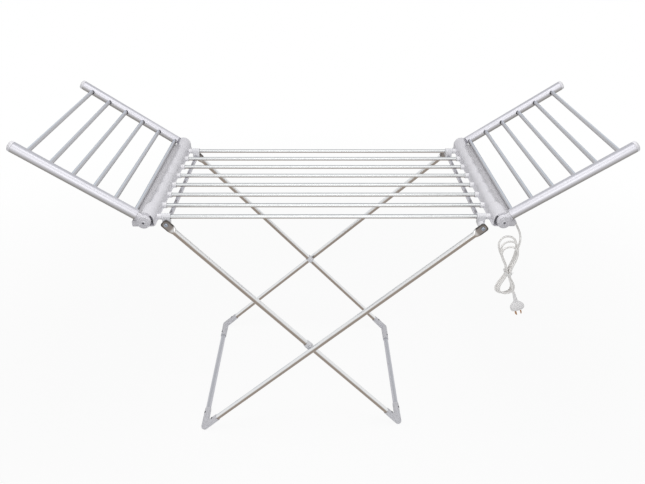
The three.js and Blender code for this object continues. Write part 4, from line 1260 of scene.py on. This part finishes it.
@dataclass
class LegFrame:
    """A U-shaped leg frame: two legs with pressed tongues, two elbows and a foot tube.

    Its axes start at the middle of its pivot axis: X runs down along the legs.
    """

    label: str
    side: Side
    pivot: Vector
    foot: Vector
    plane: float
    clip_reach: float
    radius: float = 8 * MM
    wall: float = 1.2 * MM
    tongue_thickness: float = 3.6 * MM
    tongue_width: float = 25 * MM
    tongue_overhang: float = 11 * MM
    tongue_length: float = 13 * MM
    tongue_blend: float = 17 * MM
    tongue_steps: int = 12
    end_squareness: float = 3.6
    flat_squareness: float = 6.0
    round_squareness: float = 2.0
    elbow_radius: float = 10.5 * MM
    mouth_radius: float = 9.8 * MM
    mouth_depth: float = 12 * MM
    mouth_edge: float = 0.9 * MM
    leg_sleeve: float = 58 * MM
    foot_sleeve: float = 72 * MM
    screw_share: float = 0.72
    screw_lift: float = 0.1 * MM
    skin: float = 0.02 * MM
    foot_rim: float = 0.4 * MM
    setback: float = 9 * MM
    clip_shift: float = 9 * MM
    clip_radius: float = 10.1 * MM
    clip_length: float = 20 * MM
    clip_rim: float = 0.8 * MM
    clip_pad_width: float = 12 * MM
    clip_pad_corner: float = 1.5 * MM
    clip_pad_edge: float = 0.7 * MM
    plane_step: float = 20.5 * MM

    @property
    def reach(self) -> float:
        """The distance from the pivot axis to the foot tube's axis."""
        return (self.foot - self.pivot).length

    def leg(self) -> bpy.types.Mesh:
        """A leg whose top is pressed flat into a tongue with a bolt hole.

        Returns:
            The mesh.
        """
        tip, flat = self.tongue_width / 2, self.tongue_thickness / 2
        start, power = self.tongue_length, 2 / self.end_squareness
        stages = [
            (-self.tongue_overhang * math.cos(t) ** power, tip * math.sin(t) ** power, 0.0)
            for t in ((i + 0.5) / self.tongue_steps * math.pi / 2 for i in range(self.tongue_steps))
        ]
        stages += [
            (start + self.tongue_blend * t, tip + (self.radius - tip) * ease(t), ease(t))
            for t in shares(14)
        ]
        stages.append((self.reach - self.setback, self.radius, 1.0))
        square, change = self.flat_squareness, self.round_squareness - self.flat_squareness
        rings = [
            section(along, wide, flat + (self.radius - flat) * share, square + change * share, 48)
            for along, wide, share in stages
        ]
        hole = rod(PIN_RADIUS + GAP, -flat * 2, flat * 2, 32).moved(ALONG_Y)
        return united("leg", [Shape().add_rings(rings)], [hole])

    def elbow(self) -> bpy.types.Mesh:
        """An elbow with two tapered sleeves.

        Returns:
            The mesh.
        """
        corner, bore = self.elbow_radius, self.radius + GAP

        def sleeve(length: float, *end: Pair) -> Shape:
            """A sleeve, tapered and open at its far end.

            Args:
                length: how long it is.
                end: the profile's points at its other end.

            Returns:
                The shape.
            """
            rim = rounded([(-length, bore), (-length, self.mouth_radius), (0.0, corner)], self.mouth_edge)
            depth = -length + self.mouth_depth
            return turned([(depth, 0.0), (depth, bore), *rim[:-1], *end], 56)

        foot_part = sleeve(self.foot_sleeve, *round_end(corner, corner, 0.0, 12)).moved(ALONG_Y)
        leg_part = sleeve(self.leg_sleeve, (0.0, corner - self.skin), (0.0, 0.0))
        return united("elbow", [foot_part, leg_part])

    def clip(self) -> bpy.types.Mesh:
        """The clip that grips the inner leg and bears against the outer leg.

        Returns:
            The mesh.
        """
        half, wide = self.clip_length / 2, self.clip_pad_width / 2
        ring = pipe(self.clip_radius, self.radius + self.skin, (-half, half), self.clip_rim)
        outline = rounded(rectangle((-half, half), (-wide, wide)), self.clip_pad_corner, 4, loop=True)
        pad = slab(outline, self.radius + GAP, self.plane_step - self.radius - GAP, self.clip_pad_edge)
        return united("crossing_clip", [ring, pad.moved(Matrix.Rotation(-math.pi / 2, 4, "X"))])

    def build(self) -> None:
        """Makes the frame's pieces."""
        name, body = self.label, f"{self.label}_legs"
        place = axes_matrix(self.pivot, self.foot - self.pivot, Vector((0, 1, 0)))
        screw = CrossHead(3.0 * MM, 1.5 * MM)
        up = Vector((0, 0, -self.side.value))
        for end in End:
            tag = f"{name}_{end.label}"
            inside = place @ (Matrix.Identity(4) if end is End.REAR else MIRROR_Y)
            leg_place = place @ shifted(0, end.value * self.plane)
            piece(f"{tag}_leg_tube", self.leg(), leg_place, LEG, body, f"{tag}_leg")
            corner = inside @ shifted(self.reach, self.plane)
            made = piece(f"{tag}_elbow_joint", self.elbow(), corner, ELBOW, body, f"{tag}_elbow")
            for vertex in made.data.vertices:
                vertex.co.z = max(vertex.co.z, 0.0)
            sleeves = ((-self.leg_sleeve, 0, 0), (0, -self.foot_sleeve, 0))
            for i, sleeve in enumerate(sleeves, 1):
                spot = Vector(sleeve) * self.screw_share + up * (self.mouth_radius + self.screw_lift)
                turn = axes_matrix(spot, up, Vector((0, 1, 0)))
                piece(f"{tag}_elbow_screw_{i}", screw.mesh("elbow_screw"), corner @ turn, DARK_STEEL, body)
            if self.side is Side.LEFT:
                spot = inside @ shifted(self.clip_reach - self.clip_shift, self.plane)
                piece(f"{tag}_crossing_clip", self.clip(), spot, BRACKET, body)
        half = self.plane - self.setback
        foot = pipe(self.radius, self.radius - self.wall, (-half, half), self.foot_rim)
        spot = place @ shifted(self.reach) @ ALONG_Y
        piece(f"{name}_foot_bar", foot, spot, FOOT, body, f"{name}_foot_tube")


@dataclass
class MainsCord:
    """The mains cord: its outlet, a lead, a hank with its tie, and its plug."""

    hinge: Vector
    housing_half: float
    diameter: float = 5.2 * MM
    outlet_reach: float = 33 * MM
    outlet_inset: float = 36 * MM
    outlet_drop: float = 8 * MM
    outlet_radius: float = 5.5 * MM
    outlet_neck: float = 4.2 * MM
    outlet_tip: float = 3.4 * MM
    outlet_flange: float = 2 * MM
    outlet_relief: float = 20 * MM
    outlet_tail: float = 6.4 * MM
    outlet_tilt: float = math.radians(50)
    outlet_turn: float = math.radians(50)
    outlet_rib: float = 0.5 * MM
    outlet_edge: float = 0.5 * MM
    first_rib_share: float = 0.2
    lead_straight: float = 9.4 * MM
    lead_steps: int = 22
    lead_offsets: Sequence[Triple] = (
        (53.0, 9.0, -44.5), (54.5, 3.5, -59.5), (52.0, 0.5, -78.5), (46.0, 0.0, -102.5)
    )
    hank_outreach: float = 32 * MM
    hank_fall: float = 147.5 * MM
    loops: int = 3
    height: float = 104 * MM
    drop: float = 70 * MM
    waist: float = 6.4 * MM
    width: float = 60 * MM
    layer: float = 6 * MM
    lean: float = -13 * MM
    splay: float = 8 * MM
    start_turn: float = 0.2
    end_turn: float = 0.25
    softness: float = 0.3
    top_shares: Sequence[Triple] = ((0.8, 0.8, 0.0), (1.0, 1.0, 1.0), (0.89, 0.95, 0.55), (0.77, 0.9, 0.5))
    bottom_shares: Sequence[Triple] = ((1.0, 0.92, -0.3), (0.96, 0.9, 0.15), (0.92, 0.88, 0.45))
    steps_per_loop: int = 24
    tail_steps: int = 7
    plug_tilt: float = math.radians(20)
    plug_outreach: float = 53 * MM
    plug_fall: float = 204.5 * MM
    tie_height: float = 4 * MM
    tie_ease: float = 2.3 * MM
    tie_wire: float = 0.85 * MM
    tie_leans: Pair = (-1.05, 0.95)
    tie_end: float = 12 * MM
    tie_end_share: float = 0.9
    tie_curl: float = 0.35 * MM
    tie_curl_turn: float = 9.0
    tie_sag: float = 0.12
    tie_corner_share: float = 1.6
    relief_length: float = 26 * MM
    relief_top: float = 3.4 * MM
    relief_base: float = 5.3 * MM
    relief_rib: float = 0.45 * MM
    ribs: int = 5
    steps_per_rib: int = 8
    plug_width: float = 37 * MM
    plug_length: float = 29 * MM
    plug_thickness: float = 19 * MM
    plug_swell_share: float = 0.72
    plug_swell_powers: Pair = (1.25, 0.8)
    plug_squareness: float = 1.1
    plug_close_power: float = 2.4
    plug_close_share: float = 0.42
    relief_power: float = 1.3
    pin_spacing: float = 13.7 * MM
    pin_width: float = 6.3 * MM
    pin_thickness: float = 1.7 * MM
    pin_length: float = 17 * MM
    pin_root: float = 1.5 * MM
    pin_excess: float = 1.2 * MM
    pin_corner: float = 0.4 * MM
    pin_edge: float = 0.45 * MM
    pin_angle: float = math.radians(30)

    @property
    def hank_centre(self) -> Vector:
        """The middle of the hank's waist, at its first layer."""
        return Vector((self.hinge.x + self.hank_outreach, -self.housing_half, self.hinge.z - self.hank_fall))

    @property
    def outlet_place(self) -> Vector:
        """Where the outlet's axis meets the housing's outboard wall."""
        inset_y = self.outlet_inset - self.housing_half
        return self.hinge + Vector((self.outlet_reach, inset_y, -self.outlet_drop))

    @property
    def outlet_out(self) -> Vector:
        """The way that the cord leaves, down and forwards."""
        flat, turn = math.cos(self.outlet_tilt), self.outlet_turn
        return Vector((flat * math.cos(turn), -flat * math.sin(turn), -math.sin(self.outlet_tilt)))

    @property
    def knee(self) -> Vector:
        """Where the strain relief leaves the flange."""
        return self.outlet_place + Vector((self.outlet_flange, 0, 0))

    @property
    def exit(self) -> Vector:
        """The tip of the strain relief, where the free cord starts."""
        return self.knee + self.outlet_out * (self.outlet_relief + GAP)

    @property
    def plug_down(self) -> Vector:
        """The way that the plug points."""
        return Vector((math.sin(self.plug_tilt), 0, -math.cos(self.plug_tilt)))

    @property
    def plug_top(self) -> Vector:
        """The top of the plug's strain relief."""
        y = self.hank_centre.y - self.layer * (self.loops + self.end_turn) - self.diameter
        return Vector((self.hinge.x + self.plug_outreach, y, self.hinge.z - self.plug_fall))

    @property
    def plug_place(self) -> Matrix:
        """Where the plug's axes lie; X points down along the plug."""
        return axes_matrix(self.plug_top, self.plug_down, Vector((0, 1, 0)))

    def hank_point(self, turns: float) -> Vector:
        """A place on the hank.

        Args:
            turns: 0 is a top of the hank and a half is a bottom.

        Returns:
            The place.
        """
        angle = turns * FULL_TURN
        rise = math.cos(angle)
        if rise > 0:
            high, wide, aside = self.top_shares[math.floor(turns + 0.5)]
            high, aside = self.height * high, self.lean * aside
        else:
            high, wide, aside = self.bottom_shares[min(math.floor(turns), self.loops - 1)]
            high, aside = self.drop * high, self.splay * aside
        opening = math.sqrt(rise * rise + self.softness**2) - self.softness
        half = self.waist / 2 + self.width * wide * opening
        centre = self.hank_centre
        x = centre.x + math.sin(angle) * half + aside * ease(abs(rise))
        return Vector((x, centre.y - self.layer * turns, centre.z + high * rise))

    def route(self) -> list[Vector]:
        """The whole cord from its outlet to the plug.

        Returns:
            The places along it.
        """
        first, last = self.start_turn, self.loops + self.end_turn
        steps = round((last - first) * self.steps_per_loop)
        hank = [self.hank_point(first + (last - first) * i / steps) for i in range(steps + 1)]
        into, out = (hank[0] - hank[1]).normalized(), (hank[-1] - hank[-2]).normalized()
        tail_end = self.plug_top - self.plug_down * GAP
        tail = [hank[-1], hank[-1] + out * self.diameter, tail_end - self.plug_down * self.diameter, tail_end]
        lead_end = hank[0] + into * self.diameter + into * GAP
        corner = Vector((self.hinge.x, -self.housing_half, self.hinge.z))
        lead = [self.exit, self.exit + self.outlet_out * self.lead_straight]
        lead += [corner + Vector(offset) * MM for offset in self.lead_offsets]
        lead += [lead_end + into * self.diameter, lead_end]
        return [*smooth(lead, self.lead_steps), *hank, *smooth(tail, self.tail_steps)[1:]]

    def build(self) -> None:
        cord, length = self.cord()
        outlet = piece("cord_bush", self.outlet(), Matrix.Identity(4), CAP, "rack", "cord_outlet")
        plug = piece("mains_plug", self.plug(), self.plug_place, PLUG, "rack", "cord_plug")
        pins = [piece(f"{side.label}_plug_pin", self.pin(), self.pin_place(side), BRASS) for side in Side]
        shape, centre = self.tie()
        tie = piece("hank_tie", shape, Matrix.Translation(centre), TIE, "rack", "cord_tie")
        tuple(self.exit)

    def cord(self) -> tuple[bpy.types.Object, float]:
        """The cord itself as a curve of one open spline.

        Returns:
            The piece and its length.
        """
        points = [*self.route(), self.plug_top + self.plug_down * OVERRUN]
        fine = smooth(points, len(points) * 3)
        curve = bpy.data.curves.new("mains_cord", "CURVE")
        curve.dimensions = "3D"
        spline = curve.splines.new("POLY")
        spline.points.add(len(fine) - 1)
        for point, spot in zip(spline.points, fine):
            point.co = (*spot, 1.0)
        curve.bevel_depth = self.diameter / 2
        curve.bevel_resolution = 6
        curve.use_fill_caps = True
        made = linked("mains_cord", curve)
        dressed(made, SHEATH)
        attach(made, "rack")
        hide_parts("cord_lead", "cord_hank")
        length = sum((b - a).length for a, b in zip(fine, fine[1:]))
        LOG.info("mains cord: %.3f m long", length)
        return made, length

    def outlet(self) -> Shape:
        """The flange on the housing and the tapered, ribbed strain relief that leans out of it.

        Returns:
            The shape.
        """
        neck, tail = self.outlet_neck, self.outlet_tail
        corners = [(-tail, 0.0), (-tail, neck), (GAP, neck), (GAP, self.outlet_radius)]
        corners += [(self.outlet_flange, self.outlet_radius), (self.outlet_flange, 0.0)]
        flange = turned(rounded(corners, self.outlet_edge))
        profile = [(-neck * math.cos(t), neck * math.sin(t)) for t in quarter(8)]
        for i, t in enumerate(shares(self.ribs * self.steps_per_rib)[1:], 1):
            rib = self.outlet_rib * (0.5 - 0.5 * math.cos(FULL_TURN * i / self.steps_per_rib)) ** 2
            share = self.first_rib_share if i < self.steps_per_rib else 1.0
            profile.append((self.outlet_relief * t, neck + (self.outlet_tip - neck) * t - rib * share))
        stem = turned([*profile, (self.outlet_relief, 0.0)], 40)
        lean = axes_matrix(self.knee, self.outlet_out, Vector((-self.outlet_out.y, self.outlet_out.x, 0)))
        return flange.moved(Matrix.Translation(self.outlet_place)).joined_by(stem.moved(lean))

    def plug(self) -> Shape:
        """The plug with its ribbed strain relief, skinned over rounded sections.

        Returns:
            The shape.
        """
        rings: list[list[Vector]] = []
        root, full = self.relief_base, self.plug_swell_share
        wide_power, deep_power = self.plug_swell_powers
        for i, t in enumerate(shares(self.ribs * self.steps_per_rib)):
            core = self.relief_top + (root - self.relief_top) * t**self.relief_power
            core += self.relief_rib * (0.5 + 0.5 * math.cos(FULL_TURN * i / self.steps_per_rib)) ** 2
            rings.append(section(self.relief_length * t, core, core, 2.0, 56))
        for t in shares(22)[1:]:
            swell = math.sin(min(t / full, 1.0) * math.pi / 2) ** wide_power
            past = max(0.0, (t - full) / (1 - full))
            close = math.sqrt(max(0.0, 1 - past**self.plug_close_power * self.plug_close_share))
            width = (root + (self.plug_width / 2 - root) * swell) * close
            depth = (root + (self.plug_thickness / 2 - root) * swell**deep_power) * close
            along = self.relief_length + self.plug_length * t
            rings.append(section(along, width, depth, 2.0 + self.plug_squareness * swell, 56))
        return Shape().add_rings(rings)

    def pin(self) -> Shape:
        """A flat pin of the plug.

        Returns:
            The shape.
        """
        half_width, half_depth = self.pin_width / 2, self.pin_thickness / 2
        corners = rectangle((-half_width, half_width), (-half_depth, half_depth))
        outline = rounded(corners, self.pin_corner, 3, loop=True)
        return slab(outline, 0.0, self.pin_length + self.pin_excess, self.pin_edge)

    def pin_place(self, side: Side) -> Matrix:
        """Where a pin's axes lie. The two pins are set in a V.

        Args:
            side: the pin's side.

        Returns:
            The matrix.
        """
        start = self.relief_length + self.plug_length - self.pin_root
        turn = Matrix.Rotation(side.value * self.pin_angle, 4, "X")
        return self.plug_place @ shifted(start, 0, side.value * self.pin_spacing / 2) @ turn @ ALONG_Y

    def tie(self) -> tuple[Shape, Vector]:
        """The twisted tie round the hank's waist.

        Returns:
            The shape and the place of its middle.
        """
        centre = self.hank_centre
        first, last = centre.y - self.layer / 4, centre.y - self.layer * (self.loops + 0.25)
        radius = self.diameter / 2
        half_x = self.waist / 2 + radius + self.tie_ease
        half_y = (first - last) / 2 + radius + self.tie_ease
        corners = rectangle((-half_x, half_x), (-half_y, half_y))
        loop = rounded(corners, radius * self.tie_corner_share, 8, loop=True)
        rings: list[list[Vector]] = []
        for x, y in loop:
            out = Vector((x / half_x, y / half_y, 0)).normalized() * self.tie_wire
            up = Vector((0, 0, self.tie_height / 2))
            rings.append([Vector((x, y, 0)) + out * math.cos(t) + up * math.sin(t) for t in circle(12)])
        shape = Shape().add_rings(rings, joined=True)
        for lean in self.tie_leans:
            points = []
            for t in shares(13):
                turn = t * self.tie_curl_turn
                curl = Vector((math.sin(turn), 0, math.cos(turn))) * self.tie_curl
                way = Vector((math.sin(lean), -self.tie_sag * t, math.cos(lean)))
                points.append(Vector((0.0, -half_y, 0.0)) + way * self.tie_end * t + curl)
            shape.joined_by(swept(points, self.tie_wire * self.tie_end_share, 10))
        return shape, Vector((centre.x, (first + last) / 2, centre.z))


def mixed(a: Vector, b: Vector, start: float, stop: float, t: float) -> Vector:
    """The place between two points that a knot value stands for."""
    return a * ((stop - t) / (stop - start)) + b * ((t - start) / (stop - start))


def smooth(points: Sequence[Vector], pieces: int) -> list[Vector]:
    """A centripetal curve through points, as evenly spaced places.

    Args:
        points: the points that it passes.
        pieces: how many pieces it is cut into.

    Returns:
        The places.
    """
    ends = [points[0] * 2 - points[1], *points, points[-1] * 2 - points[-2]]
    fine: list[Vector] = []
    for spots in zip(ends, ends[1:], ends[2:], ends[3:]):
        knots = [0.0]
        for a, b in zip(spots, spots[1:]):
            knots.append(knots[-1] + (b - a).length ** 0.5)
        for i in range(STEPS_PER_SPAN):
            t = knots[1] + (knots[2] - knots[1]) * i / STEPS_PER_SPAN
            level = spots
            for span in (1, 2):
                level = [mixed(level[k], level[k + 1], knots[k], knots[k + span], t) for k in range(4 - span)]
            fine.append(mixed(*level, knots[1], knots[2], t))
    fine.append(Vector(points[-1]))
    return resampled(fine, pieces)


def resampled(points: Sequence[Vector], pieces: int) -> list[Vector]:
    """Evenly spaced places along a line, both ends included.

    Args:
        points: the line's points.
        pieces: how many pieces it is cut into.

    Returns:
        The places.
    """
    along = [0.0]
    for a, b in zip(points, points[1:]):
        along.append(along[-1] + (b - a).length)
    result = []
    place = 0
    for i in range(pieces + 1):
        want = along[-1] * i / pieces
        while place < len(points) - 2 and along[place + 1] < want:
            place += 1
        span = along[place + 1] - along[place]
        share = 0.0 if span < TINY else (want - along[place]) / span
        result.append(points[place].lerp(points[place + 1], min(1.0, max(0.0, share))))
    return result


# Studio


@dataclass(frozen=True)
class Lamp:
    """A soft rectangular lamp that faces a point."""

    name: str
    place: Triple
    aim: Triple
    size: Pair
    power: float
    glossy: bool = True

    def build(self) -> None:
        """Makes the lamp."""
        data = bpy.data.lights.new(self.name, "AREA")
        data.shape = "RECTANGLE"
        data.size, data.size_y = self.size
        data.energy = self.power
        made = linked(self.name, data)
        made.visible_glossy = self.glossy
        made.location = self.place
        toward = Vector(self.aim) - Vector(self.place)
        made.rotation_euler = toward.to_track_quat("-Z", "Y").to_euler()


@dataclass(frozen=True)
class Studio:
    """The camera, the pale floor and the plain soft light."""

    camera_place: Triple = (-0.0175, -1.610, 1.4554)
    pitch: float = 0.526
    yaw: float = 0.010
    roll: float = 0.004
    image_width: int = 645
    focal_pixels: float = 612.06
    sensor: float = 36.0
    floor_size: float = 44.0
    floor_level: float = 0.93
    shadow_share: float = 0.09
    shadow_reach: float = 2.6
    fill: float = 0.38
    lamps: Sequence[Lamp] = (
        Lamp("key_softbox", (0.0, -0.3, 1.7), (0.0, -0.1, 0.7), (0.6, 0.9), 6.5, glossy=False),
        Lamp("overhead_softbox", (0.0, -0.6, 3.0), (0.0, 0.0, 0.7), (3.4, 1.1), 11.0),
        Lamp("front_softbox", (0.0, -3.2, 1.9), (0.0, 0.0, 0.4), (2.6, 1.2), 15.0),
    )

    def camera(self) -> None:
        """Makes the camera at the photograph's viewing angle."""
        data = bpy.data.cameras.new("photo_camera")
        data.sensor_width = self.sensor
        data.lens = self.focal_pixels / self.image_width * self.sensor
        data.clip_start, data.clip_end = 0.05, 60.0
        made = linked("photo_camera", data)
        right = Vector((math.cos(self.yaw), -math.sin(self.yaw), 0.0))
        ahead = Vector((math.sin(self.yaw), math.cos(self.yaw), 0.0)) * math.cos(self.pitch)
        forward = ahead - Vector((0.0, 0.0, math.sin(self.pitch)))
        up = right.cross(forward)
        level, tip = math.cos(self.roll), math.sin(self.roll)
        right, up = right * level + up * tip, up * level - right * tip
        turn = Matrix((right, up, -forward)).transposed().to_4x4()
        made.matrix_world = Matrix.Translation(self.camera_place) @ turn
        bpy.context.scene.camera = made

    def floor(self) -> None:
        """Makes the pale floor, which keeps the airer's shadow."""
        span = (-self.floor_size / 2, self.floor_size / 2)
        mesh = bpy.data.meshes.new("floor")
        mesh.from_pydata([(x, y, 0) for x, y in rectangle(span, span)], [], [(0, 1, 2, 3)])
        material = bpy.data.materials.new("pale_floor")
        graph = ShaderGraph(material)
        paint = graph.signal("ShaderNodeBsdfDiffuse", 0, {"Color": (self.floor_level,) * 3})
        white = graph.signal("ShaderNodeEmission", 0, {"Color": WHITE})
        away = graph.signal("ShaderNodeVectorMath", "Value", {0: graph.place()}, operation="LENGTH")
        clear = graph.eased(away, self.shadow_reach / 4, self.shadow_reach, 1.0 - self.shadow_share)
        whiteness = graph.background_ray() * clear
        seen = graph.signal("ShaderNodeMixShader", 0, {0: whiteness, 1: paint, 2: white})
        graph.node("ShaderNodeOutputMaterial", {"Surface": seen})
        mesh.materials.append(material)
        linked("floor", mesh)

    def world(self) -> None:
        """Makes the sky: white where it is seen, and a soft fill elsewhere."""
        world = bpy.data.worlds.new("studio")
        bpy.context.scene.world = world
        graph = ShaderGraph(world)
        strength = self.fill + (1.0 - self.fill) * graph.background_ray()
        sky = graph.signal("ShaderNodeBackground", 0, {"Color": WHITE, "Strength": strength})
        graph.node("ShaderNodeOutputWorld", {"Surface": sky})

    def build(self) -> None:
        """Makes the whole studio."""
        bpy.context.scene.view_settings.view_transform = "Standard"
        self.camera()
        self.floor()
        self.world()
        for lamp in self.lamps:
            lamp.build()


def middle(node: str) -> Vector:
    """The middle of a solid's box."""
    return sum(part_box(node), Vector()) / 2


class Airer:
    """Builds every sub-assembly in the places that the frame gives."""

    def __init__(self, frame: dict[str, Any]) -> None:
        """Keeps the frame's nodes and the places of its joints.
        """
        self.nodes = frame["nodes"]
        self.pivots = {joint["name"]: Vector(joint["pos_m"]) for joint in frame["joints"]}

    @staticmethod
    def leg_plane(label: str) -> float:
        """How far a leg frame's legs lie from the middle."""
        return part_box(f"{label}_rear_elbow")[1].y - LegFrame.elbow_radius

    def build_rack(self) -> None:
        """Makes the rack, its housings, brackets and axle tubes."""
        tubes = [middle(name) for name in sorted(self.nodes) if name.startswith("heating_tube_")]
        low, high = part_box("heating_tube_1")
        TubeRack(tubes, (high.x - low.x) / 2).build()
        height, rear = tubes[0].z, tubes[-1].y
        half_tongue = LegFrame.tongue_thickness / 2
        for side, label in ((Side.LEFT, "inner"), (Side.RIGHT, "outer")):
            hinge, pivot = self.pivots[f"{side.label}_wing_fold"], self.pivots[f"{label}_legs_fold"]
            plane = self.leg_plane(label)
            EndHousing(side, hinge, [t.y for t in tubes], hinge.z - height).build()
            centre = Vector((pivot.x, 0, height))
            for end in End:
                LegBracket(side, end, centre, rear, height - pivot.z, plane - half_tongue).build()
            shoulder = rear - LegBracket.radius + LegBracket.axle_bite
            AxleTube(side, pivot, shoulder, plane + half_tongue + GAP).build()

    def build_wings(self) -> None:
        """Makes both wings."""
        for side in Side:
            hinge = self.pivots[f"{side.label}_wing_fold"]
            bars = [middle(f"{side.label}_wing_bar_{i}") for i in range(1, 7)]
            outward = bars[-1] - bars[0]
            outward.y = 0
            Wing(side, hinge, outward, [(b - hinge).dot(outward.normalized()) for b in bars]).build()

    def build_legs(self) -> None:
        """Makes both leg frames."""
        for side, label in ((Side.LEFT, "inner"), (Side.RIGHT, "outer")):
            foot = middle(f"{label}_foot_tube")
            foot.y = 0
            pivot, plane = self.pivots[f"{label}_legs_fold"], self.leg_plane(label)
            LegFrame(label, side, pivot, foot, plane, self.crossing_reach()).build()

    def crossing_reach(self) -> float:
        """Where the frames cross.

        Returns:
            The distance from the inner frame's pivot.
        """
        inner, outer = self.pivots["inner_legs_fold"], self.pivots["outer_legs_fold"]
        inner_way, outer_way = middle("inner_foot_tube") - inner, middle("outer_foot_tube") - outer
        inner_slope, outer_slope = -inner_way.z / inner_way.x, outer_way.z / outer_way.x
        run = (outer.x - inner.x) * outer_slope / (inner_slope + outer_slope)
        return run * math.sqrt(1 + inner_slope**2)

    def build(self) -> None:
        """Makes everything in order, and finishes the cables that stay as they are in the tubes."""
        low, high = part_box("right_end_base")
        MainsCord(self.pivots["right_wing_fold"], (high.y - low.y) / 2).build()
        self.build_rack()
        self.build_wings()
        self.build_legs()
        for place in ("rack", "left_wing", "right_wing"):
            dressed(self.nodes[f"{place}_heating_cable"], SILICONE)


def main() -> None:
    """Builds the studio and the airer."""
    logging.basicConfig(level=logging.INFO, format="%(message)s")
    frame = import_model()
    Studio().build()
    Airer(frame).build()


if __name__ == "__main__":
    main()
